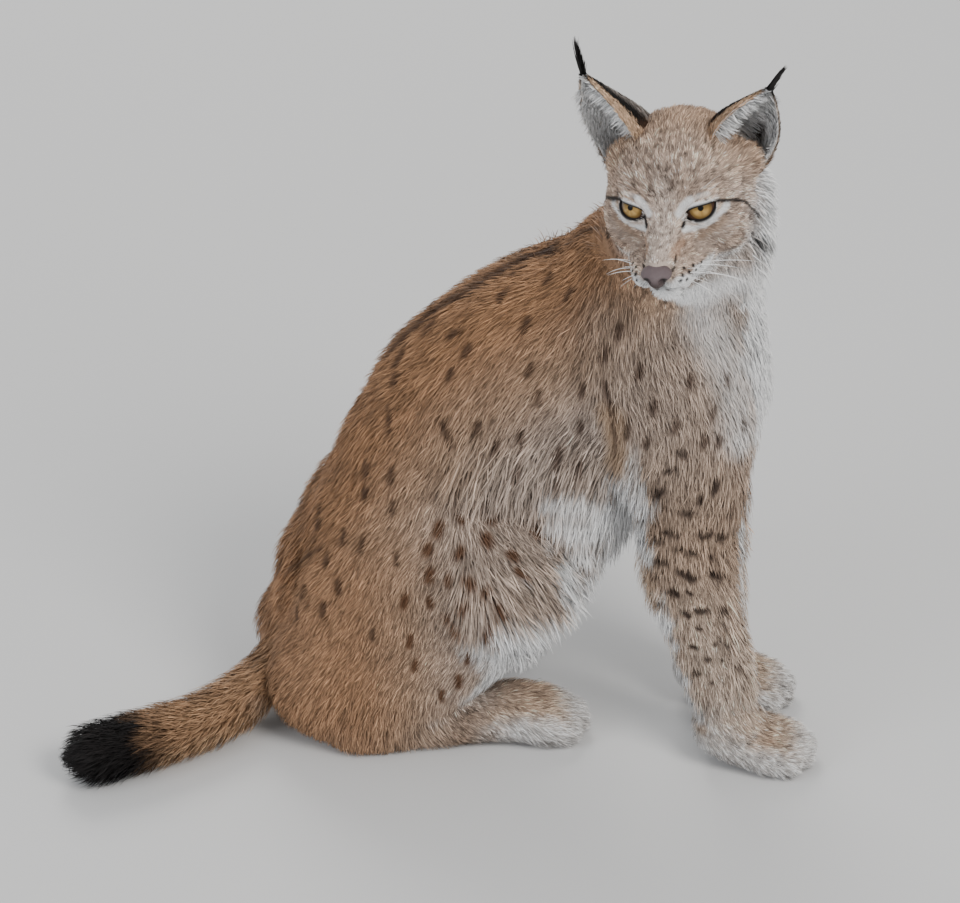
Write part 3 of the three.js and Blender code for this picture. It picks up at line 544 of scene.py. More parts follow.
def make_mesh(name, points, faces, colours, look, uv=None):
    """A piece from points in millimetres and groups of faces, each group an array of one size of face."""
    mesh = bpy.data.meshes.new(name)
    loops = np.concatenate([f.ravel() for f in faces])
    sizes = np.concatenate([np.full(len(f), f.shape[1]) for f in faces])
    mesh.vertices.add(len(points))
    mesh.vertices.foreach_set("co", ((points + SHIFT) / 1000).astype(np.float32).ravel())
    mesh.loops.add(len(loops))
    mesh.loops.foreach_set("vertex_index", loops.astype(np.int32))
    mesh.polygons.add(len(sizes))
    mesh.polygons.foreach_set("loop_start", np.append(0, np.cumsum(sizes)[:-1]).astype(np.int32))
    mesh.update(calc_edges=True)
    mesh.polygons.foreach_set("use_smooth", np.ones(len(sizes), bool))
    tint = mesh.attributes.new("tint", "FLOAT_COLOR", "POINT")
    tint.data.foreach_set("color", np.column_stack([colours, np.ones(len(points))]).astype(np.float32).ravel())
    if uv is not None:
        layer = mesh.uv_layers.new(name="OFBake")
        layer.uv.foreach_set("vector", uv[loops].astype(np.float32).ravel())
    mesh.materials.append(look)
    obj = bpy.data.objects.new(name, mesh)
    bpy.context.scene.collection.objects.link(obj)
    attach(obj, "root")
    return obj


AXES = [
    graded(-420, 345, [(100, 245, 1.7)], 5.0),
    graded(-250, 170, [(-250, -95, 1.7)], 5.0),
    graded(-12, 770, [(-12, 50, 3.5), (552, 700, 1.7)], 5.0),
]
skin_points, skin_quads = surface(socketed, AXES)

# What the camera sees at a pixel of the photo
VIEW_BACK = np.array([0, -np.cos(VIEW_HEIGHT), np.sin(VIEW_HEIGHT)])
VIEW_UP = np.array([0, np.sin(VIEW_HEIGHT), np.cos(VIEW_HEIGHT)])
VIEW_FROM = VIEW_TARGET + VIEW_BACK * VIEW_DISTANCE
skin_tree = BVHTree.FromPolygons(skin_points.tolist(), skin_quads.tolist())


def ray_at(x, y):
    across, up = (x - PHOTO_WIDE / 2) / PIXELS_A_RADIAN, (PHOTO_HIGH / 2 - y) / PIXELS_A_RADIAN
    return unit(-VIEW_BACK + np.array([across, 0, 0]) + VIEW_UP * up)


def seen(pixels):
    """The places on the skin at those of the pixels that show it."""
    hits = [skin_tree.ray_cast(Vector(VIEW_FROM), Vector(ray_at(x, y)))[0] for x, y in pixels]
    return np.array([tuple(hit) for hit in hits if hit is not None])


# Colours, named by what they are on
def rgb(red, green, blue):
    c = np.array([red, green, blue]) / 255
    return np.where(c < 0.04045, c / 12.92, ((c + 0.055) / 1.055) ** 2.4)


RUFOUS = rgb(155, 117, 85)
TAWNY = rgb(168, 140, 116)
GREY_TAN = rgb(170, 154, 142)
FACE_TAN = rgb(192, 170, 154)
BUFF = rgb(205, 178, 146)
PALE = rgb(238, 238, 238)
RUST = rgb(128, 82, 44)
BROWN = rgb(66, 46, 34)
BLACK = rgb(24, 21, 21)


# Dark and pale marks laid on the coat: lines of places on the skin, each with its half width and colour, its
# strength, and how much of the half width its soft edge takes
MARKS = []


def paint(p, colours):
    """Lay the marks over the colours at places p."""
    low, high = p.min(0), p.max(0)
    for line, half, colour, strength, edge in MARKS:
        middle = line.mean(0)
        reach = norm(line - middle).max() + half * 2
        if (middle < low - reach).any() or (middle > high + reach).any():
            continue
        near = np.nonzero(np.abs(p - middle).max(1) < reach)[0]
        q = p[near]
        gap = np.full(len(q), np.inf)
        for a, b in list(zip(line, line[1:])) or [(line[0], line[0])]:
            span = b - a
            t = np.clip((q - a) @ span / max(span @ span, 1e-6), 0, 1)
            gap = np.minimum(gap, norm(q - a - t[:, None] * span))
        colours[near] = mix(colours[near], colour, strength * (1 - ease(gap / half, 1 - edge, 1 + edge)))


# Marks as the photo shows them: x and y, half their run across and down, and their half width in millimetres
FLANK_SMUDGES = [
    (431, 329, -4, 3, 4), (455, 335, -4, 3, 4), (468, 350, -3, 4, 4), (401, 360, -4, 7, 4), (397, 379, -2, 4, 4),
    (451, 374, -2, 4, 4), (519, 272, -6, 4, 3), (550, 249, -6, 5, 4), (549, 279, -3, 4, 4), (504, 296, -4, 4, 4),
    (570, 294, -3, 5, 4), (527, 325, -2, 5, 4), (530, 369, -2, 4, 4), (538, 396, -1, 6, 4), (448, 432, 5, 9, 4),
    (391, 418, 0, 14, 3), (521, 434, -1, 4, 4), (496, 443, -2, 4, 4), (517, 460, -1, 4, 4), (557, 451, -1, 6, 4),
    (584, 388, -1, 5, 4), (581, 425, 0, 5, 4), (577, 460, 0, 5, 4), (477, 427, -1, 5, 4), (554, 474, 0, 7, 3),
    (456, 495, -1, 5, 4), (486, 492, 0, 5, 4), (321, 517, -1, 9, 4), (366, 492, -1, 5, 4), (393, 506, 0, 5, 4),
    (363, 545, -1, 5, 4), (328, 560, -1, 5, 4), (294, 571, -1, 5, 4), (397, 558, 0, 5, 3), (345, 537, -1, 5, 4),
    (324, 610, 0, 6, 4), (299, 613, 0, 6, 3), (305, 592, -1, 5, 3), (339, 587, 0, 5, 4), (368, 469, -1, 6, 4),
    (392, 474, -1, 6, 4), (373, 634, 0, 4, 3), (620, 330, -2, 6, 4), (640, 372, -2, 6, 4), (606, 352, -2, 6, 4),
    (655, 405, -2, 5, 4), (690, 380, -1, 5, 4), (676, 425, -2, 4, 4), (712, 412, -1, 5, 3), (704, 440, -1, 4, 4),
    (630, 430, -1, 6, 4), (725, 380, 0, 5, 3), (740, 425, 0, 4, 3), (648, 440, -2, 3, 4), (718, 440, -1, 4, 4),
]
THIGH_BLOTCHES = [
    (460, 518, 2, 3, 4), (478, 506, -2, 2, 5), (492, 515, -2, 4, 7), (487, 540, 1, 3, 6), (536, 531, 3, 2, 6),
    (512, 555, 2, 2, 5), (520, 572, 4, 3, 4), (460, 552, -1, 3, 5), (428, 549, -1, 3, 5), (439, 529, -1, 5, 5),
    (430, 574, -1, 4, 5), (449, 579, 0, 3, 4), (470, 580, 2, 2, 6), (486, 588, 2, -2, 4), (465, 601, 2, -2, 5),
    (430, 601, 0, 3, 4), (500, 604, 2, 4, 4), (447, 614, 1, 2, 4), (456, 625, 1, 3, 4), (467, 657, 0, 5, 3),
    (458, 680, 0, 5, 4), (486, 623, 0, 4, 4), (441, 694, 0, 4, 3), (495, 640, -1, 4, 3), (410, 640, -1, 5, 3),
    (405, 600, -1, 5, 4), (415, 665, -1, 4, 3),
]
LEG_SPOTS = [
    (714, 485, -1, 5, 4), (683, 452, 3, 1, 4), (671, 469, 5, -1, 3), (661, 491, 2, -2, 5), (700, 498, 0, 2, 3),
    (688, 511, 4, 0, 4), (647, 518, 3, -1, 2), (673, 532, 5, 1, 4), (705, 533, 3, -1, 5), (719, 534, 1, 0, 5),
    (646, 538, 2, 0, 3), (660, 539, 3, 1, 2.5), (693, 551, 5, 1, 3), (679, 548, 3, 1, 2.5), (663, 559, 3, 1, 4),
    (660, 573, 2, 1, 2.5), (687, 574, 6, 4, 5), (715, 573, 2, 0, 5), (675, 592, 2, 2, 4), (664, 600, 2, 0, 2.5),
    (701, 610, 3, 0, 4.5), (687, 614, 1, 1, 4), (721, 608, 0, 2, 3.5), (737, 593, 0, 1, 2.5), (725, 641, 0, 1, 2.5),
    (737, 639, 0, 1, 2.5), (715, 643, 0, 1, 2), (694, 646, 2, 1, 3), (708, 659, 1, 0, 2.5), (734, 666, 0, 1, 3),
    (698, 671, 1, 1, 3), (739, 684, 0, 1, 2.5), (712, 682, 1, 0, 2), (675, 633, 1, 1, 2.5), (728, 575, 0, 1, 3),
    (700, 628, 1, 0, 2.5), (722, 660, 0, 1, 2), (690, 592, 2, 1, 2.5), (727, 512, 0, 2, 3), (710, 555, 1, 1, 2.5),
]
SPINE_LINE = [
    (556, 246), (532, 257), (500, 275), (464, 297), (435, 314), (411, 335), (392, 355), (372, 378), (356, 402),
]
LOIN_LINE = [(356, 402), (343, 428), (331, 452), (322, 474), (308, 503), (294, 532)]


def mirrored(matrix, points):
    """The like places on the other side of a frame, brought onto the skin."""
    q = place(matrix, local(matrix, points) * [1, -1, 1])
    for _ in range(4):
        q = settled(skin_form, q)
    return q


def add_line(pixels, half, colour, strength, matrix=None, edge=0.5):
    """A mark through pixels of the photo, with its like on the other side of the frame if one is given."""
    line = seen(pixels)
    if len(line):
        for places in [line] if matrix is None else [line, mirrored(matrix, line)]:
            MARKS.append((places, half, colour, strength, edge))


def add_marks(marks, matrix, colour, strength):
    for x, y, across, down, half in marks:
        add_line([(x + k * across, y + k * down) for k in (-1, 0, 1)], half, colour, strength, matrix)


BIB_LINES = [
    ([(706, 312), (718, 345), (734, 385), (738, 430)], 21, 0.5),
    ([(740, 440), (743, 490)], 13, 0.45),
    ([(756, 300), (759, 340), (761, 380), (756, 412), (750, 445), (747, 480)], 15, 0.9),
    ([(751, 430), (748, 475), (745, 520)], 11, 0.85),
    ([(744, 505), (741, 560), (739, 610)], 5.5, 0.6),
    ([(702, 296), (722, 285), (745, 280), (758, 290)], 15, 0.9),
    ([(552, 486), (575, 488), (598, 494), (614, 506)], 10, 0.85),
    ([(562, 512), (590, 516), (618, 524)], 14, 0.95),
    ([(575, 545), (604, 546)], 13, 0.95),
    ([(764, 268), (774, 245), (779, 215)], 11, 0.9),
    ([(648, 570), (658, 610), (668, 650), (682, 705)], 9, 0.8),
]
for pixels, half, strength in BIB_LINES:
    add_line(pixels, half, PALE, strength, CHEST, 0.8)
add_line([(614, 415), (624, 455), (634, 490), (644, 525)], 15, mix(TAWNY, BUFF, 0.25), 0.9, CHEST, 0.6)
add_line([(642, 520), (650, 560), (656, 590)], 9, mix(TAWNY, BUFF, 0.4), 0.7, CHEST, 0.7)
add_marks(FLANK_SMUDGES, CHEST, BROWN, 0.8)
add_marks(THIGH_BLOTCHES, PELVIS, mix(RUST, BROWN, 0.7), 0.95)
add_marks(LEG_SPOTS, CHEST, mix(BROWN, BLACK, 0.5), 0.95)
add_line(SPINE_LINE, 4.5, BROWN, 0.85)
add_line(LOIN_LINE, 4.0, BROWN, 0.7, CHEST)
# Painted shade in the crease between the flank and the foreleg.
add_line([(606, 380), (613, 405), (619, 436), (630, 476)], 4.0, BROWN, 0.75)

# The face, from its left half as the photo shows it, and the same on the right
FACE_LINES = [
    ([(703, 246), (716, 236), (730, 226)], 9, GREY_TAN, 0.5),
    ([(655, 290), (668, 290), (684, 283), (697, 275), (706, 267)], 7, PALE, 0.95),
    ([(668, 297), (684, 298), (700, 288)], 8, PALE, 0.95),
    ([(674, 254), (682, 244)], 6, rgb(182, 142, 112), 0.5),
    ([(655, 288), (668, 290), (683, 289), (698, 281), (706, 275)], 0.9, BROWN, 0.75),
    ([(679, 214), (683, 206), (690, 200)], 3.4, PALE, 0.9),
    ([(690, 200), (699, 196), (708, 194)], 2.4, PALE, 0.4),
    ([(684, 229), (694, 228), (704, 225), (713, 219), (720, 212), (727, 204)], 3.2, PALE, 0.95),
    ([(700, 236), (712, 229), (724, 219)], 4.0, TAWNY, 0.4),
    ([(686, 214), (682, 227)], 2.1, BLACK, 1.0),
    ([(717, 201), (732, 200), (744, 201), (751, 209), (755, 215)], 1.8, BLACK, 0.95),
    ([(749, 214), (752, 222), (750, 232)], 4.5, BROWN, 0.6),
    ([(742, 236), (734, 246)], 4.0, BROWN, 0.55),
    ([(754, 240), (764, 246), (776, 256)], 5.5, BLACK, 0.85),
    ([(676, 255), (675, 262)], 1.5, BLACK, 0.9), ([(675, 267), (671, 272)], 1.6, BLACK, 0.9),
    ([(652, 186), (654, 172), (656, 160)], 2.2, BROWN, 0.3),
    ([(672, 190), (676, 176), (679, 164)], 2.2, BROWN, 0.35),
    ([(690, 186), (696, 172), (700, 160)], 2.0, BROWN, 0.3),
    ([(664, 176), (666, 160)], 2.0, BROWN, 0.25),
]
WHISKER_SPOTS = [
    (684, 268, 2.0), (693, 265, 2.0), (701, 262, 1.5), (682, 275, 2.0), (689, 272, 2.0), (696, 270, 1.5),
    (680, 281, 1.6), (687, 279, 1.6), (696, 276, 1.5),
]
for pixels, half, colour, strength in FACE_LINES + [([(x, y)], half, BLACK, 1.0) for x, y, half in WHISKER_SPOTS]:
    add_line(pixels, half, colour, strength, HEAD)


# The coat's colours, before its marks
def trunk_colour(p, n):
    run, _, deep, wide = spine.around(p)
    colour = mix(GREY_TAN, TAWNY, ease(deep, 0.4, -0.3))
    colour = mix(colour, RUFOUS, ease(deep, -0.1, -0.85))
    colour = mix(colour, PALE, ease(deep + 0.12 * noise(p, 18), 0.72, 0.92))
    ridge = 1 - ease(np.abs(wide + 0.015 * noise(p, 60)), 0.02, 0.085)
    return mix(colour, BROWN, 0.6 * ridge * (deep < 0) * ease(run, 0.35, 0.5))


def tail_colour(p, n):
    end = tail.around(p)[0] + 0.03 * noise(p, 12)
    colour = mix(RUFOUS, BUFF, 0.2 + 0.3 * ease(n[:, 2], 0.4, -0.6))
    colour = mix(colour, BROWN, 0.6 * ease(end, 0.75, 0.83))
    return mix(colour, BLACK, ease(end, 0.84, 0.9))


def fore_colour(p, n, side, limb):
    run, _, deep, wide = limb.fore.around(p)
    upper = ease(run, 0.5, 0.15)
    colour = mix(TAWNY, GREY_TAN, 0.35 + 0.4 * upper)
    colour = mix(colour, rgb(220, 202, 186), 0.55 * ease(p[:, 2], 260, 110))
    rear = ease(deep + 0.2 * noise(p, 14), 0.74, 0.92) * (1 - upper)
    return mix(colour, PALE, np.maximum(ease(-wide * side, 0.1, 0.5), rear))


def hind_colour(p, n, side, limb):
    g = local(PELVIS, p)
    colour = mix(TAWNY, RUFOUS, 0.85 * ease(g[:, 0], 60, -20))
    colour = mix(colour, GREY_TAN * 1.15, 0.8 * ease(g[:, 0], 30, 100))
    front = ease(n @ PELVIS[:3, 0] + 0.2 * noise(p, 16), 0.25, 0.7) * ease(g[:, 2], 260, 215)
    front = np.maximum(front, ease(g[:, 0] + 10 * noise(p, 16, 1.3), 92, 120) * ease(g[:, 2], 175, 140))
    return mix(colour, PALE, np.maximum(front, ease(-n @ (PELVIS[:3, 1] * side), 0.15, 0.55)))


def foot_colour(p, n, q):
    """White round the rim and tan over the middle, q being the place from the end of the toes."""
    middle = ease(q[:, 0], -6, -34) * (1 - ease(np.abs(q[:, 1]), 24, 42)) * ease(n[:, 2] + 0.2 * noise(p, 9), 0.0, 0.6)
    colour = mix(PALE * 0.95, rgb(210, 184, 160), 0.2 + 0.7 * middle)
    return mix(colour, TAWNY, 0.6 * middle * ease(-q[:, 0] + 8 * noise(p, 14), 22, 50))


def paw_colour(p, n, side, limb):
    return foot_colour(p, n, local(CHEST, p) - [190 - LEFT_FORE_BACK * (side > 0), side * FORELEG_OUT, 0])


def sole_colour(p, n, side, limb):
    """The hind foot: the thigh's colour over the hock, paler toward the toes."""
    g = local(PELVIS, p)
    ends = np.column_stack([218 - LEFT_HIND_BACK * (g[:, 1] > 0), np.sign(g[:, 1]) * HIND_FOOT_OUT, g[:, 2]])
    toward = ease(g[:, 0] + 8 * noise(p, 12), 90, 150)
    colour = mix(mix(TAWNY, GREY_TAN, 0.4), foot_colour(p, n, g - ends), toward)
    return mix(RUFOUS, colour, 0.35 + 0.65 * ease(g[:, 0], -10, 60))


def head_colour(p, n):
    f, l, u = local(HEAD, p).T
    colour = mix(FACE_TAN, TAWNY, 0.8 * ease(f, -5, -60) * ease(u, 0, 30))
    colour = mix(colour, RUFOUS, 0.5 * ease(f, -50, -110) * ease(u, -30, 20))
    bridge = (1 - ease(np.abs(l), 6, 20)) * ease(f, -12, 12) * ease(u, -44, -36)
    colour = mix(colour, rgb(204, 188, 176), 0.8 * bridge)
    for side in SIDES:
        q = local(eye_frame(side), p)
        ring = 1 - ease(opening_value(q), 2.5, 5.5)
        colour = mix(colour, PALE, 0.5 * ring * (norm(q) < 34))
    white = ease(-u + 2 * noise(p, 10), 41, 47) * ease(f, -14, 8)
    white = np.maximum(white, ease(u, -50, -58) * ease(f, -60, -20))
    ruff = ease(-f + 6 * noise(p, 16), 66, 84) * ease(-u - 0.1 * np.abs(l), -16, 10)
    cheek = 0.45 * ease(f, -20, -44) * ease(u, 0, -26)
    throat = ease(u, -44, -62) * ease(f, 0, -30)
    return mix(colour, PALE, np.max([white, 0.9 * ruff, cheek, 0.85 * throat], axis=0))


def body_colour(p, normal):
    colour = np.zeros((len(p), 3))
    shares = shares_at(p, 9)

    def add(name, make, *more):
        share = shares[name]
        near = share > 0.01
        colour[near] += make(p[near], normal[near], *more) * share[near][:, None]

    add("trunk", trunk_colour)
    add("tail", tail_colour)
    add("head", head_colour)
    for limb in limbs:
        for name, make in (("fore", fore_colour), ("hind", hind_colour), ("paw", paw_colour), ("sole", sole_colour)):
            add((name, limb.side), make, limb.side, limb)
    c, g = local(CHEST, p), local(PELVIS, p)
    bib = ease(c[:, 0] + 9 * noise(p, 22, 3.1) - 0.35 * np.abs(c[:, 1]), 92, 112) * ease(c[:, 2], 210, 260)
    bib *= 1 - ease(local(HEAD, p)[:, 0], -40, 0) * ease(c[:, 2], 520, 560)
    groin = ease(-np.abs(g[:, 1]), -70, -45) * ease(g[:, 0], 70, 120) * ease(g[:, 2], 300, 262)
    groin *= 1 - ease(g[:, 0], 200, 240)
    return mix(mix(colour, PALE, bib), PALE, groin)


def lie_of(p, normal):
    """The way that the coat lies at each place."""
    shares = shares_at(p, 14)
    flow = 0.22 * np.column_stack([noise(p, 60, k * 7.7) for k in range(3)])

    def add(name, way):
        flow[:] += way * shares[name][:, None]

    _, along, deep, _ = spine.around(p)
    down = np.array([0, 0, -1.0])
    add("trunk", unit(-along + down * (0.25 + 0.9 * ease(deep, -0.6, 0.6))[:, None]))
    add("tail", tail.around(p)[1])
    h, g = local(HEAD, p), local(PELVIS, p)
    away = aim(HEAD, h - [54, 0, -34])
    add("head", unit(away + down * (0.1 + 0.75 * ease(h[:, 0], -20, -70) * ease(h[:, 2], 25, -15))[:, None]))
    ahead = ease(g[:, 0] + 0.3 * g[:, 2], 130, 190)
    hip = mix(aim(PELVIS, [-0.35, 0, -1]), aim(PELVIS, [0.9, 0, -0.75]), ahead)
    low = ease(g[:, 2], 150, 100) * (1 - ahead)
    for limb in limbs:
        add(("fore", limb.side), limb.fore.around(p)[1])
        add(("hind", limb.side), unit(mix(hip, limb.shank.around(p)[1], 0.5 * low)))
        add(("paw", limb.side), aim(CHEST, [1, 0, -0.35]))
        add(("sole", limb.side), aim(PELVIS, [1, 0, -0.3]))
    return unit(flat(flow, normal))


RUMP_DIP = seen([(297, 556)])[0]  # where the coat is fullest over the rump


def coat_at(p, normal):
    """Length, width, lift in radians and spacing of the tufts at each place."""
    h, c, g = local(HEAD, p), local(CHEST, p), local(PELVIS, p)
    kind = np.array([[20.0], [32.0], [2.15]]) * np.ones(len(p))  # length, lift in degrees and spacing

    def set_where(share, *new):
        nonlocal kind
        kind = kind * (1 - share) + np.array(new)[:, None] * share

    set_where(ease(p[:, 2], 300, 120), 13, 32, 1.9)
    for limb in limbs:
        near = np.nonzero(limb.fore(p) < 12)[0]
        leg, behind = np.zeros((2, len(p)))
        deep, z = limb.fore.around(p[near])[2], p[near, 2]
        leg[near] = ease(z, 260, 200)
        behind[near] = ease(deep, 0.3, 0.75) * ease(z, 270, 230) * ease(z, 50, 80)
        set_where(leg, 10.5, 34, 1.75)
        set_where(behind, 24, 44, 1.9)
    set_where(ease(p[:, 2], 80, 45), 9, 44, 1.55)
    belly = ease(g[:, 0], 60, 100) * ease(c[:, 0], 40, -10) * ease(g[:, 2], 370, 330) * ease(g[:, 2], 130, 180)
    set_where(belly * ease(normal[:, 2], 0.35, -0.15), 48, 58, 2.1)
    fringe = ease(g[:, 0] + 0.35 * g[:, 2], 165, 195) * ease(g[:, 2], 70, 110) * ease(g[:, 2], 290, 250)
    set_where(fringe * (1 - belly) * ease(normal @ PELVIS[:3, 0], 0.1, 0.5), 30, 44, 2.0)
    hock = ease(g[:, 2], 90, 60) * ease(g[:, 0], 92, 60) * ease(g[:, 2], 4, 14)
    set_where(hock, 17, 34, 2.0)
    toes_up = ease(g[:, 2], 70, 40) * ease(g[:, 0], 120, 160)
    set_where(toes_up * ease(c[:, 0], 20, 0), 12, 44, 1.7)
    set_where(1 - ease(norm(p - RUMP_DIP), 25, 60), 32, 52, 2.1)
    set_where(ease(c[:, 0], 80, 110) * ease(c[:, 2], 230, 280), 28, 26, 2.1)
    far = norm(p - place(HEAD, [-36, 0, -20]))
    set_where(ease(far, 150, 110), 20, 28, 1.9)
    head = ease(far, 112, 98)
    set_where(head, 14, 30, 1.6)
    set_where(head * ease(h[:, 0], -66, -24), 7.5, 26, 1.3)
    set_where(head * ease(h[:, 0], -14, 16), 3.6, 22, 1.05)
    set_where(head * ease(h[:, 0], -20, 0) * ease(h[:, 2], -56, -66), 5.5, 24, 1.2)
    set_where(head * ease(h[:, 0], -44, -66) * ease(h[:, 2], 14, -14), 32, 26, 1.8)
    set_where(ease(p[:, 0], -165, -215) * ease(p[:, 2], 110, 60), 24, 46, 1.9)
    length, lift, spacing = kind
    return length, 0.34 + 0.028 * length, np.radians(lift), spacing


def sample_skin(points, quads):
    """Roots spread over the skin, closer together where the coat is finer."""
    a, b, c, d = (points[quads[:, k]] for k in range(4))
    cross = np.cross(c - a, d - b)
    spacing = coat_at((a + b + c + d) / 4, unit(cross))[3]
    total = np.cumsum(norm(cross) / 2 / spacing**2)
    picked = quads[np.searchsorted(total, np.arange(0.5, total[-1], 1.0))]
    u, v = RANDOM.random((2, len(picked), 1))
    a, b, c, d = (points[picked[:, k]] for k in range(4))
    return (a * (1 - u) + b * u) * (1 - v) + (d * (1 - u) + c * u) * v


def nose_form(p):
    value = soft(4, Ball(HEAD, [52, 0, -37], [10, 14.5, 6], 28)(p), Ball(HEAD, [52, 0, -43], [9.5, 8, 8])(p))
    for s in SIDES:
        value = scoop(2, value, Ball(HEAD, [62, s * 8, -42], [7, 3.8, 3.6], 0, s * 30)(p))
    return value


def bare(p):
    """True where no tuft grows: between the lids and on the nose pad."""
    none = nose_form(p) < 0.8
    for side in SIDES:
        q = local(eye_frame(side), p)
        none |= (norm(q) < 30) & (opening_value(q) < 1.7)
    return none


CLUMP = 10.0  # the size of a clump of tufts
STRAY = 0.14  # how far tufts stray from the lie of the coat


def clumped(root):
    """The way from each root to the middle of its clump."""
    q = root / CLUMP + 0.3
    cell = np.floor(q).astype(int)
    x, y, z = cell.T
    jitter = np.stack([LATTICE[(x + k * 5) % CELLS, y % CELLS, z % CELLS] for k in range(3)], 1)
    return (cell + 0.5 + 0.35 * jitter - q) * CLUMP


SINK = 0.08  # how deep a tuft's root stands in the skin, as a share of its length
SINK_MOST = 1.5


def blades(root, normal, flow, length, width, lift, rings, droop=0.0, clump=0.26, curl=0.2):
    """Flat tapered tufts: points as [tuft, ring, across], the last ring closed to a tip."""
    count = len(root)
    side = unit(np.cross(flow, normal))
    roll = RANDOM.normal(0, 0.35, count)[:, None]
    across = side * np.cos(roll) + normal * np.sin(roll)
    bend = side * (RANDOM.normal(0, curl, count))[:, None]
    pull = flat(clumped(root), normal)
    lift = lift * RANDOM.uniform(0.7, 1.25, count)
    at = root - normal * np.minimum(SINK * length, SINK_MOST)[:, None]
    rows = [at]
    for k in range(rings):
        share = (k + 0.5) / rings
        angle = lift * (1.15 - 1.0 * share)
        step = flow * np.cos(angle)[:, None] + normal * np.sin(angle)[:, None] + bend * share
        step = unit(step - np.array([0, 0, 1.0]) * np.asarray(droop).reshape(-1, 1) * share)
        at = at + step * (length / rings)[:, None]
        rows.append(at)
    shares = np.linspace(0, 1, rings + 1)
    line = np.stack(rows, 1) + pull[:, None] * (clump * shares**1.4)[None, :, None]
    profile = np.interp(shares, [0, 0.3, 0.7, 1], [0.7, 1.0, 0.72, 0.0])
    half = ((width / 2)[:, None, None] * profile[None, :, None] * across[:, None])[:, :-1]
    sides = np.stack([line[:, :-1] - half, line[:, :-1] + half], 2)
    return np.concatenate([sides.reshape(count, -1, 3), line[:, -1:]], 1), shares


def blade_faces(count, rings):
    start = (np.arange(count) * (2 * rings + 1))[:, None]
    quads = [start + np.array([2 * k, 2 * k + 1, 2 * k + 3, 2 * k + 2]) for k in range(rings - 1)]
    tips = start + np.array([2 * rings - 2, 2 * rings - 1, 2 * rings])
    return [np.stack(quads, 1).reshape(-1, 4), tips]


def tuft_colours(base, under, shares, vary):
    """Each ring's colour from root to tip, with light and dark hairs among the rest; the roots take the darker under
    colour, partly the underfur's own and partly painted shade in the coat's depth.
    """
    kind = RANDOM.random(len(base))
    kin = 1 + 0.5 * (kind < 0.2) - 0.45 * (kind > 0.78)
    tip = base * (kin * RANDOM.normal(1, vary, len(base)))[:, None]
    rows = []
    for share in shares[:-1]:
        rows += [mix(under, tip, float(ease(share, -0.2, 0.5)))] * 2
    rows.append(tip * 1.05)
    return np.clip(np.stack(rows, 1), 0, 0.9)


def unwrap(root, origin, axis, seam):
    """Each root's place on a cylinder round the axis, from 0 to 1 both ways."""
    axis, seam = unit(np.array(axis, float)), np.array(seam, float)
    seam = unit(seam - axis * (seam @ axis))
    d = root - origin
    run = d @ axis
    turn = np.arctan2(d @ np.cross(axis, seam), d @ seam)
    v = (run - run.min()) / max(np.ptp(run), 1e-6)
    return np.column_stack([turn / (2 * np.pi) + 0.5, v]) * 0.98 + 0.01


PATCH = 0.003  # a tuft's patch of the map


def coat_piece(name, points, colours, rings, at):
    """One piece of tufts, each with a patch of the map at its root's place."""
    uv = np.repeat(at[:, None], points.shape[1], 1)
    steps = np.append(np.repeat(np.arange(rings), 2), rings) / rings
    sides = np.append(np.tile([-0.5, 0.5], rings), 0.0)
    uv[:, :, 0] += sides * PATCH
    uv[:, :, 1] += (steps - 0.5) * PATCH
    faces = blade_faces(len(points), rings)
    obj = make_mesh(name, points.reshape(-1, 3), faces, colours.reshape(-1, 3), COAT, uv.reshape(-1, 2))


# Materials
def set_values(target, values):
    for key, value in values.items():
        if hasattr(target, key):
            setattr(target, key, value)
        else:
            target.inputs[key.replace("_", " ")].default_value = value


def material(name, build, **values):
    """A material with the given values of its shader, and the nodes that build adds to it."""
    made = bpy.data.materials.new(name)
    made.use_nodes = True
    tree = made.node_tree
    shader = tree.nodes["Principled BSDF"]
    set_values(shader, values)

    def node(kind, **values):
        new = tree.nodes.new("ShaderNode" + kind)
        set_values(new, values)
        return new

    def link(source, output, target, socket):
        tree.links.new(source.outputs[output], target.inputs[socket])

    build(shader, node, link)
    return made


def coat_look(name, grain, depth, roughness):
    def build(shader, node, link):
        tint = node("Attribute", attribute_name="tint")
        speck = node("TexNoise", Scale=grain, Detail=3.0)
        shade = node("MapRange", To_Min=0.72, To_Max=1.25)
        product = node("VectorMath", operation="MULTIPLY")
        bump = node("Bump", Strength=depth, Distance=0.001)
        link(node("TexCoord"), "Object", speck, "Vector")
        link(speck, "Fac", shade, "Value")
        link(tint, "Color", product, 0)
        link(shade, "Result", product, 1)
        link(product, "Vector", shader, "Base Color")
        link(speck, "Fac", bump, "Height")
        link(bump, "Normal", shader, "Normal")

    return material(name, build, Roughness=roughness, Specular_IOR_Level=0.25)


COAT = coat_look("coat_hair", 700.0, 0.15, 0.62)
HIDE = coat_look("coat_skin", 420.0, 0.6, 0.85)


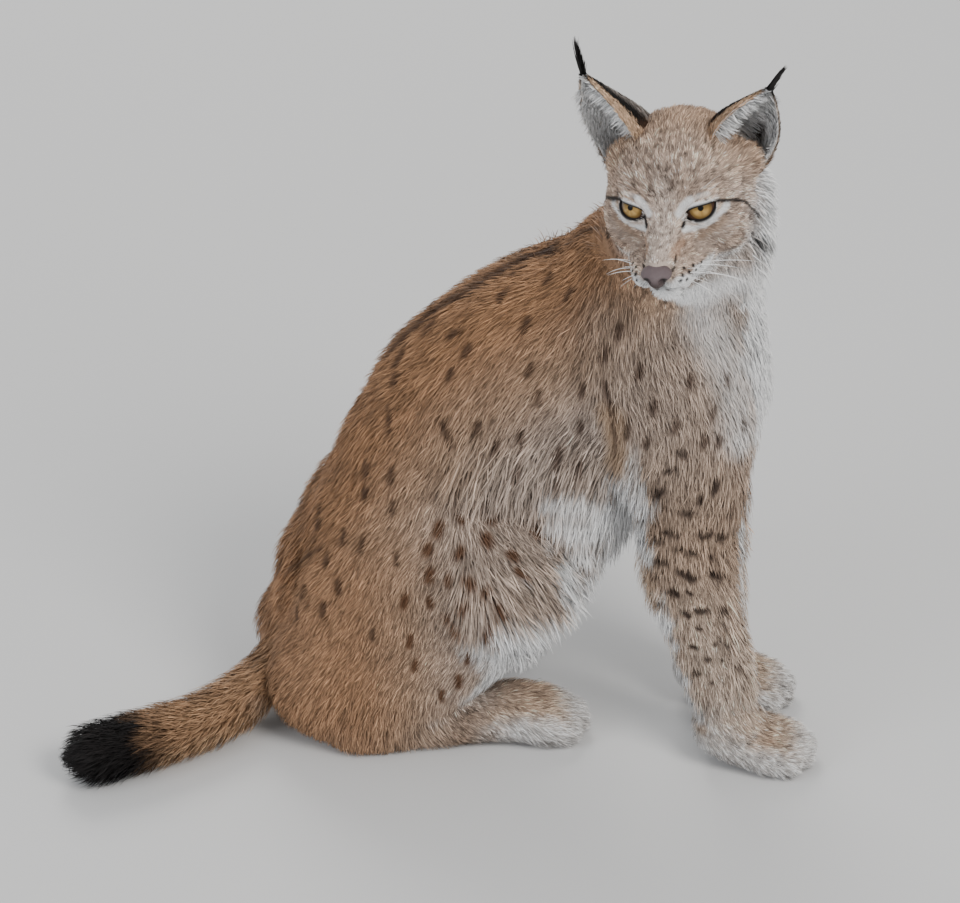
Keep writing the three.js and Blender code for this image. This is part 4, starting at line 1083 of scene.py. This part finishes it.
# The coat's pieces: where each is, the axis that its unwrap turns round, and the rings of its tufts
def region_of(p):
    h, c, g = local(HEAD, p), local(CHEST, p), local(PELVIS, p)
    forms = forms_at(p)
    forms["head"] -= 6
    names = list(forms)
    first = np.argmin(np.stack(list(forms.values())), axis=0)
    near = lambda *wanted: np.isin(first, [names.index(name) for name in wanted])
    right = p[:, 1] < np.interp(p[:, 0], [-150, 150], [-10, -55])
    region = np.where(p[:, 2] < 300, "rump", np.where(p[:, 0] < 60, "loin", "chest")).astype(object)
    region += np.where(right, "_right", "_left").astype(object)
    region[(c[:, 2] > 470) & (c[:, 0] > -30)] = "neck"
    for side, hand in HAND.items():
        region[near(("fore", side), ("paw", side)) & (c[:, 2] < 270)] = "foreleg_" + hand
        hind = near(("hind", side), ("sole", side))
        region[hind] = "thigh_" + hand
        region[hind & (g[:, 2] < 75)] = "hind_foot_" + hand
    region[p[:, 0] < -185] = "tail"
    region[near("head")] = "ruff"
    region[near("head") & (h[:, 0] > -34)] = "face"
    return region


AXIS = {
    "trunk": (WORLD[:3, 2], CHEST[:3, 0]),
    "neck": (WORLD[:3, 2], -HEAD[:3, 0]),
    "tail": (np.array([0.86, 0.5, 0]), np.array([0, 0, -1.0])),
    "face": (HEAD[:3, 0], -HEAD[:3, 2]),
    "ruff": (HEAD[:3, 0], -HEAD[:3, 2]),
    "hind": (PELVIS[:3, 0], -PELVIS[:3, 2]),
}
RINGS = 3
FLECKS = 0.7  # how much the short fur is flecked
COLOUR_AT = 0.5  # how far along a tuft its ground colour is read
COAT_LOW = 0.6  # the coat's least height over the floor


def coat(points, quads):
    root = sample_skin(points, quads)
    normal = unit(gradient(skin_form, root)[1])
    keep = ~bare(root)
    root, normal = root[keep], normal[keep]
    flow = lie_of(root, normal)
    length, width, lift, _ = coat_at(root, normal)
    flow = unit(flow + STRAY * RANDOM.normal(size=flow.shape))
    flow = unit(flat(flow, normal))
    length = length * RANDOM.uniform(0.7, 1.2, len(root))
    middle = root + flow * (length * COLOUR_AT)[:, None] + normal * (0.2 * length)[:, None]
    base = body_colour(middle, normal)
    fine = ease(length, 16, 5)  # short fur shows its flecks more
    flecks = 0.07 * noise(middle, 40, 9.1) + 0.12 * noise(middle, 11, 5.5) + FLECKS * fine * noise(middle, 3.6, 2.2)
    base = base * np.maximum(1 + flecks, 0.3)[:, None]
    vary = 0.17 + 0.1 * fine
    # The roots' darker colour: partly the underfur's own, partly painted shade in the coat's depth.
    under = mix(base * 0.6, np.minimum(base, BROWN), 0.35)
    droop = 0.15 + 0.5 * ease(length, 24, 44)
    region = region_of(root)
    for name in sorted(set(region)):
        it = np.nonzero(region == name)[0]
        made, shares = blades(root[it], normal[it], flow[it], length[it], width[it], lift[it], RINGS, droop[it])
        made[:, :, 2] = np.maximum(made[:, :, 2], COAT_LOW)
        tints = tuft_colours(base[it], under[it], shares, vary[it])
        along = np.append(np.repeat(shares[:-1], 2), 1.0)[None, :, None] * np.cos(lift[it])[:, None, None]
        ground = root[it, None] + flow[it, None] * (length[it, None, None] * along)
        paint(ground.reshape(-1, 3), tints.reshape(-1, 3))
        axis, seam = AXIS.get(name, AXIS.get(name.split("_")[0], AXIS["trunk"]))
        coat_piece(f"coat_{name}", made, tints, RINGS, unwrap(root[it], root[it].mean(0), axis, seam))


# Ears: a cupped shell of skin from a base in the head to a tip, and their hair
EAR_HALF = 33  # an ear's half width
EAR_WALL = 2.4
EAR_GRID = 26
EAR_RINGS = 4


class Ear:
    def __init__(self, side, base, tip, opening, hair, lean, sweep):
        """hair is the tuft's length, lean its way, and sweep how the white hair leans along the ear, base and tip."""
        self.side, self.hair, self.sweep = side, hair, sweep
        self.root = place(HEAD, base)
        axis = place(HEAD, tip) - self.root
        self.height = norm(axis)
        self.axis = axis / self.height
        front = aim(HEAD, opening)
        self.front = unit(front - self.axis * (front @ self.axis))
        self.wide = np.cross(self.axis, self.front)
        self.lean = aim(HEAD, lean)

    def at(self, s, t, depth):
        """A place on the shell: s from base to tip, t from edge to edge, depth in from its back."""
        width = EAR_HALF * np.maximum(1 - np.maximum(s, 0) ** 2.1, 0) ** 0.85 * (0.86 + 0.5 * s * (1 - s)) + 1.6
        spread = np.radians(122 - 50 * s)
        radius = width / np.sin(np.minimum(spread, np.pi / 2))
        reach = radius - depth * (1 - 0.45 * s) * (1 - 0.45 * t**4)
        out = reach * np.sin(t * spread)
        deep = radius * np.cos(spread) - reach * np.cos(t * spread)
        up = self.height * s
        return self.root + up[..., None] * self.axis + out[..., None] * self.wide + deep[..., None] * self.front

    def shell(self):
        s, t = np.meshgrid(np.linspace(-0.16, 1, EAR_GRID + 1), np.linspace(-1, 1, EAR_GRID + 1), indexing="ij")
        points = np.concatenate([self.at(s, t, depth).reshape(-1, 3) for depth in (0, EAR_WALL)])
        grid = np.arange(s.size).reshape(s.shape)
        rim = np.concatenate([grid[0], grid[1:, -1], grid[-1, -2::-1], grid[-2:0:-1, 0]])
        joined = np.column_stack([rim, rim + s.size])
        joined = np.column_stack([joined, np.roll(joined, -1, 0)[:, ::-1]])
        return points, np.concatenate([grid_quads(grid), grid_quads(grid.T) + s.size, joined])


def grid_quads(grid):
    return np.stack([grid[:-1, :-1], grid[:-1, 1:], grid[1:, 1:], grid[1:, :-1]], -1).reshape(-1, 4)


def closed(grid):
    """A grid that goes round: its first column comes again at the end."""
    return np.column_stack([grid, grid[:, 0]])


TAN = rgb(196, 166, 138)


def ear_coat(ear):
    """Short hair on the back, long pale hair in the cup, a dark edge and the tuft past the tip."""
    parts = []
    left = ear.side > 0
    sideways = ear.wide * ear.side  # from the edge nearer the crown to the outer edge

    def spread(count, low, high, m_low=-1, m_high=1):
        return RANDOM.uniform(low, high, count), RANDOM.uniform(m_low, m_high, count)

    def tufts(s, m, inward, way, sizes, width, lift, colour, fill=0.6, clump=0.1, plus=0.0, press=0.8, fall=0.0):
        """Tufts at s from base to tip and m from the outer edge, -1, to the inner edge, 1.

        They lie on the wall, along the ear and toward its outer edge by the two shares of way, or the way of plus.
        Their sizes fall toward the ear's tip by a share."""
        count = len(s)
        length = RANDOM.uniform(*sizes, count) * (1 - fall * np.clip(s, 0, 1))
        t = -ear.side * m
        deep, step = EAR_WALL if inward else 0.0, 0.02
        along = unit(ear.at(s + step, t, deep) - ear.at(s - step, t, deep))
        across = unit(ear.at(s, t + step, deep) - ear.at(s, t - step, deep)) * ear.side
        out = unit(np.cross(along, across)) * (-ear.side if inward else ear.side)
        flow = along * way[0] + across * way[1] + plus + STRAY * RANDOM.normal(size=(count, 3))
        flow = flow - out * dot(flow, out)[:, None] * press
        flow = flow + out * np.maximum(0.1 - dot(flow, out), 0)[:, None]  # none through the wall
        root, width, lift = ear.at(s, t, deep), np.full(count, width), np.full(count, lift)
        made, shares = blades(root, out, unit(flow), length, width, lift, EAR_RINGS, clump=clump)
        colour = np.broadcast_to(colour, (count, 3))
        at = np.column_stack([0.02 + 0.96 * np.clip(s, 0, 1), 0.25 + 0.24 * t + 0.5 * inward])
        # The roots take colour * fill, darker than the tips: partly the underfur's own colour, partly painted shade
        # among the hairs.
        parts.append((made, tuft_colours(colour, colour * fill, shares, 0.14), at))

    # The back: dark, with a pale patch in the middle and warm at the base
    s, m = spread(4200, -0.1, 0.98)
    patch = (1 - ease(np.abs(m + 0.08), 0.5, 0.72)) * ease(s, 0.14, 0.3) * (1 - ease(s, 0.68, 0.84))
    base = mix(BLACK, TAWNY * 0.8, 1 - ease(s, 0.14, 0.36))
    base = mix(base, rgb(158, 150, 144), patch)
    base = mix(base, TAN, ease(m, 0.76, 0.82) * (1 - ease(s, 0.86, 0.94)))
    tufts(s, m, False, (1, 0), (6, 9), 1.0, 0.3, base)
    # The cup's lining, with painted shade darkening the recess at the base of the left ear's cup
    s, m = spread(4000, -0.1, 0.95, -0.98, 0.9)
    hollow_shade = ease(s, -0.05, 0.1) * (1 - ease(s, 0.22, 0.4)) * (1 - ease(np.abs(m + 0.3), 0.16, 0.4)) * left
    tufts(s, m, True, (1, -0.3), (8, 13), 1.5, 0.35, mix(PALE, BROWN * 0.6, hollow_shade), 0.9)
    # Long white hair rooted along the inner edge and lying across the cup
    s, m = spread(3600, -0.1, 0.86, -0.15 if left else -0.8, 0.8)
    way = ear.front * 0.6 + sideways * 0.85 + ear.axis * np.interp(s, [0, 0.7], ear.sweep)[:, None]
    tufts(s, m, True, (0, 0), (16, 32), 1.2, 0.15, PALE, 0.85, 0.12, way, 0.25, 0.45)
    # Pale hair past the outer edge
    s, m = spread(700, 0.0, 0.7, 0.75)
    way = sideways * 0.9 + ear.axis * (0.1 if left else -0.4) + ear.front * 0.5
    tufts(s, -m, True, (0, 0), (8, 15), 1.0, 0.3, PALE * 0.9, 0.6, 0.1, way, 0.4, 0.4)
    # The inner edge: a tan band in front of a thin black line
    s = RANDOM.uniform(-0.1, 0.95, 1000)
    for inward, low in ((True, 0.7), (False, 0.8)):
        tufts(s, RANDOM.uniform(low, 1.0, 1000), inward, (1, 0.04), (6, 9), 1.1, 0.2, TAN, 0.9, 0.05)
    s, m = spread(900, 0.25, 0.99, 0.6, 0.8)
    base = mix(BROWN, BLACK, ease(s, 0.25, 0.45))
    tufts(s, m + 0.15 * ease(s, 0.7, 0.95), False, (1, 0), (6, 9), 1.1, 0.2, base, clump=0.05)
    # The outer edge
    s, m = spread(700, -0.1, 0.97, 0.9)
    base = mix(rgb(200, 184, 170), BLACK, ease(s, 0.84, 0.96))
    tufts(s, -m, False, (1, 0.2), (5, 8), 1.0, 0.2, base, clump=0.05)
    # A skirt of longer hair round the base
    s, m = spread(1100, -0.14, 0.06)
    tufts(s, m, False, (1, 0.1), (11, 17), 1.1, 0.3, mix(TAWNY, GREY_TAN, 0.4), clump=0.2)
    # The tuft
    count = 150
    s, t = 1 - RANDOM.uniform(0, 0.1, count) ** 1.3, RANDOM.uniform(-0.7, 0.7, count)
    tip = ear.root + ear.axis * (ear.height + ear.hair) + ear.lean * ear.hair * 0.3
    root = ear.at(s, t, EAR_WALL / 2)
    reach = tip - root + RANDOM.normal(0, 0.7, (count, 3))
    sizes = norm(reach) * RANDOM.uniform(0.35, 1.05, count)
    flow = unit(unit(reach) - ear.lean * 0.16)
    black, out = np.broadcast_to(BLACK, (count, 3)), np.broadcast_to(-ear.front, (count, 3))
    width, lift = np.full(count, 1.2), np.zeros(count)
    made, shares = blades(root, out, flow, sizes, width, lift, EAR_RINGS, clump=0.0, curl=0.05)
    bow = np.repeat(shares, 2)[:-1]
    made += (ear.lean * ear.hair * 0.16)[None, None, :] * (bow**2)[None, :, None]
    parts.append((made, tuft_colours(black, black, shares, 0.1), np.column_stack([s, 0.25 + 0.2 * t])))
    made, tints, at = (np.concatenate(group) for group in zip(*parts))
    coat_piece(f"ear_hair_{HAND[ear.side]}", made, tints, EAR_RINGS, np.clip(at, 0.01, 0.99))


# The lids: rows of how far each is out from the lid's edge and its radius, and how pale it is
LID_ROWS = ((-0.8, 15.1), (-0.7, 16.2), (-0.1, 17.2), (1.0, 17.9), (2.2, 18.0), (4, 17.9), (6.5, 17.2), (9, 15.4))
LID_PALE = (0, 0, 0, 0.35, 0.95, 1, 1, 1)
LID_COLUMNS = 96


def lid_ring(side):
    """The two lids of an eye: a band from the eyeball, over a rounded edge and out under the coat."""
    edge = lid_edge(LID_COLUMNS)
    flat_radius = np.maximum(EYE_RADIUS**2 - (edge**2).sum(1), 0.04)
    facing = unit(np.column_stack([edge, np.sqrt(flat_radius)]))
    along = unit(np.roll(facing, -1, 0) - np.roll(facing, 1, 0))
    away = np.cross(along, facing)
    away *= np.sign(dot(away[:, :2], edge))[:, None]
    rows = [radius * (facing * np.cos(out / radius) + away * np.sin(out / radius)) for out, radius in LID_ROWS]
    points = place(eye_frame(side), np.concatenate(rows))
    faces = grid_quads(closed(np.arange(len(points)).reshape(len(rows), -1)))
    return points, outward(points, faces, eye_spots[side])


def merged(*meshes):
    points, faces, start = [], [], 0
    for p, f in meshes:
        points.append(p)
        faces.append(f + start)
        start += len(p)
    return np.concatenate(points), np.concatenate(faces)


def shaded_hide_colours(points):
    colours = np.empty_like(points)
    for start in range(0, len(points), CHUNK):
        some = slice(start, start + CHUNK)
        colours[some] = body_colour(points[some], unit(gradient(skin_form, points[some])[1]))
    paint(points, colours)
    # The skin darkened to 0.8: partly the underfur's own colour, partly painted shade under the coat.
    return colours * 0.8


FLOOR_GAP = 0.4  # the soles are flat this far over the floor
left_ear = Ear(1, [-54, 52, 20], [-50, 94, 98], [0.86, 0.42, 0.1], 30, [-0.8, 0.3, -0.4], (-0.25, 0.35))
right_ear = Ear(-1, [-54, -50, 20], [-48, -78, 112], [0.84, -0.54, 0.05], 38, [0, 0.95, 0.3], (-0.55, -0.35))
hide_points, hide_quads = merged(
    (skin_points, skin_quads), left_ear.shell(), right_ear.shell(), *(lid_ring(side) for side in SIDES)
)
hide_points[:, 2] = np.maximum(hide_points[:, 2], FLOOR_GAP)
edge = ease(np.abs(np.tile(np.linspace(-1, 1, EAR_GRID + 1), EAR_GRID + 1)), 0.85, 0.95)
back = mix(rgb(128, 112, 106), rgb(205, 195, 188), edge)
cup = np.broadcast_to(rgb(220, 216, 212), back.shape)
lids = mix(BLACK, PALE * 0.8, np.repeat(LID_PALE, LID_COLUMNS))
tints = np.concatenate([shaded_hide_colours(hide_points[: len(skin_points)]), back, cup, back, cup, lids, lids])
skin = make_mesh("skin", hide_points, [hide_quads], tints, HIDE)
flesh = [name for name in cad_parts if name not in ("nose", "eye_left", "eye_right")]
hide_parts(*flesh)
coat(skin_points, skin_quads)
ear_coat(left_ear)
ear_coat(right_ear)

# Whiskers and brow hairs: the pixels of their roots, their lengths and how they rise
WHISKERS = [
    (684, 268, 34, -0.05), (693, 265, 50, 0.06), (701, 262, 60, -0.02), (682, 275, 38, -0.35), (689, 272, 58, -0.2),
    (696, 270, 64, -0.1), (687, 279, 42, -0.6), (696, 276, 52, -0.4), (690, 281, 30, -0.8),
]
BROW_HAIRS = [(704, 190, 34, 0.5), (699, 192, 30, 0.6), (709, 192, 28, 0.4)]
WHISKER_RINGS = 9


def whiskers():
    roots, flows, sizes = [], [], []
    for hairs, forward, out in ((WHISKERS, -0.28, 0.9), (BROW_HAIRS, 0.25, 0.35)):
        for x, y, long, rise in hairs:
            root = seen([(x, y)])
            roots += [root[0], mirrored(HEAD, root)[0]]
            flows += [aim(HEAD, [forward, side * out, rise]) for side in SIDES]
            sizes += [long * 0.95, long * 0.5]
    roots, flows, sizes = np.array(roots), unit(np.array(flows)), np.array(sizes)
    normal = unit(flat(unit(gradient(skin_form, roots)[1]), flows))
    flows = unit(flows + RANDOM.normal(0, 0.07, flows.shape))
    wide, lift = np.full(len(roots), 0.55), RANDOM.uniform(0.05, 0.3, len(roots))
    made, shares = blades(roots, normal, flows, sizes, wide, lift, WHISKER_RINGS, 0.35, clump=0.0, curl=0.1)
    tints = np.broadcast_to(PALE, (*made.shape[:2], 3))
    coat_piece("whiskers", made, tints, WHISKER_RINGS, unwrap(roots, place(HEAD, [20, 0, -40]), *AXIS["face"]))


whiskers()


# The nose
def nose_nodes(shader, node, link):
    bump = node("Bump", Strength=0.5, Distance=0.0004)
    link(node("TexVoronoi", Scale=900.0), "Distance", bump, "Height")
    link(bump, "Normal", shader, "Normal")
    link(node("Attribute", attribute_name="tint"), "Color", shader, "Base Color")


middle = place(HEAD, [51, 0, -37])
nose_points, nose_quads = surface(nose_form, [graded(at - 24, at + 24, [], 0.9) for at in middle])
h = local(HEAD, nose_points)
# Painted shade in the nostrils: black where they are carved in.
nostril_shade = np.min([norm((h - [61, s * 8.5, -42]) / [6, 5, 5]) for s in SIDES], axis=0)
tints = mix(rgb(100, 86, 88), rgb(66, 52, 52), ease(h[:, 2], -39, -46))
tints = mix(tints, BLACK, 1 - ease(nostril_shade, 0.7, 1.1))
nose = make_mesh("nose_pad", nose_points, [nose_quads], tints, material("nose_leather", nose_nodes, Roughness=0.42))
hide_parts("nose")

# The eyes
EYEBALL = EYE_RADIUS - 0.2
IRIS = 0.70  # the iris's edge, as a share of the eyeball's radius
PUPIL = 0.17
EYE_COLUMNS = 64
FIBRES = 22


def eye_nodes(shader, node, link):
    link(node("Attribute", attribute_name="tint"), "Color", shader, "Base Color")


EYE_LOOK = material(
    "eye_gloss", eye_nodes,
    Roughness=0.4, Specular_IOR_Level=0.1, Coat_Weight=0.7, Coat_IOR=1.3, Coat_Roughness=0.02,
)


def eyeball(side, pixel):
    """An eye whose pupil the camera sees at the pixel, if it is between the lids."""
    centre = eye_spots[side]
    ray = ray_at(*pixel)
    miss = VIEW_FROM + ray * ((centre - VIEW_FROM) @ ray) - centre
    gaze = unit(miss - ray * np.sqrt(max(EYEBALL**2 - miss @ miss, 0)))
    first = unit(np.cross(gaze, HEAD[:3, 2]))
    second = np.cross(gaze, first)
    rim = np.arcsin(IRIS) * 1.1
    tilt = np.concatenate([np.linspace(0, rim, 36), np.linspace(rim, np.pi, 26)[1:]])
    out, angle = np.meshgrid(np.sin(tilt), np.linspace(0, 2 * np.pi, EYE_COLUMNS, endpoint=False), indexing="ij")
    front = (np.cos(tilt) > 0)[:, None]
    radius = EYEBALL * (1 + 0.035 * (1 - ease(out, 0.3, IRIS)) * front)
    points = centre + (radius * np.cos(tilt)[:, None])[..., None] * gaze
    points = points + (radius * out * np.cos(angle))[..., None] * first
    points = points + (radius * out * np.sin(angle))[..., None] * second
    strands = RANDOM.uniform(-1, 1, FIBRES + 1)
    fibre = 0.5 + 0.5 * np.interp(angle * (FIBRES / 2) / np.pi, np.arange(FIBRES + 1), strands)
    tints = mix(rgb(146, 114, 58), rgb(184, 150, 90), fibre)
    tints = mix(tints, rgb(98, 74, 38), ease(out, 0.4, 0.62) * 0.8)
    tints = mix(tints, rgb(70, 48, 36), np.where(front, ease(out, IRIS - 0.05, IRIS), 1.0))
    tints = mix(tints, rgb(6, 5, 5), np.where(front, 1 - ease(out, PUPIL - 0.02, PUPIL + 0.02), 0.0))
    # Painted shadow of the upper lid: the eye darker toward its top.
    lid_shadow = ease((points - centre) @ HEAD[:3, 2] / EYE_RADIUS, 0.12, 0.5)
    tints = tints * (1 - 0.6 * lid_shadow[..., None])
    faces = grid_quads(closed(np.arange(out.size).reshape(out.shape)).T)
    hand = HAND[side]
    obj = make_mesh(f"eyeball_{hand}", points.reshape(-1, 3), [faces], tints.reshape(-1, 3), EYE_LOOK)
    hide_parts(f"eye_{hand}")


eyeball(1, (700.6, 208.2))
eyeball(-1, (630.4, 207.8))


# Floor, light and camera
def floor_nodes(shader, node, link):
    shade = node("MapRange", To_Min=0.62, To_Max=0.68)
    link(node("TexNoise", Scale=3.0), "Fac", shade, "Value")
    link(shade, "Result", shader, "Base Color")


bpy.ops.mesh.primitive_plane_add(size=16, location=(0, 0, 0))
floor = bpy.context.object
floor.name = "floor"
floor.data.materials.append(material("floor_pale", floor_nodes, Roughness=0.9))

LIT = Vector((0, 0, 0.35))  # where the lights point, in metres


def area_light(name, at, size, power, colour):
    light = bpy.data.lights.new(name, "AREA")
    light.shape = "DISK"
    light.size, light.energy, light.color = size, power, colour
    obj = bpy.data.objects.new(name, light)
    obj.location = at
    obj.rotation_euler = (LIT - Vector(at)).to_track_quat("-Z", "Y").to_euler()
    bpy.context.scene.collection.objects.link(obj)


area_light("key", (2.2, -2.6, 3.4), 2.0, 140, (1.0, 0.97, 0.93))
area_light("fill", (-3.2, -2.4, 2.2), 2.6, 60, (0.93, 0.96, 1.0))
area_light("back", (-0.6, 3.2, 3.0), 2.2, 80, (1.0, 0.98, 0.95))
world = bpy.data.worlds.new("studio")
world.use_nodes = True
set_values(world.node_tree.nodes["Background"], dict(Color=(0.86, 0.88, 0.9, 1), Strength=0.64))
bpy.context.scene.world = world

SENSOR = 36
camera_data = bpy.data.cameras.new("camera")
camera_data.sensor_width = SENSOR
camera_data.lens = SENSOR * PIXELS_A_RADIAN / PHOTO_WIDE
camera = bpy.data.objects.new("camera", camera_data)
camera.location = Vector((VIEW_FROM + SHIFT) / 1000)
camera.rotation_euler = (np.pi / 2 - VIEW_HEIGHT, 0, 0)
bpy.context.scene.collection.objects.link(camera)
bpy.context.scene.camera = camera
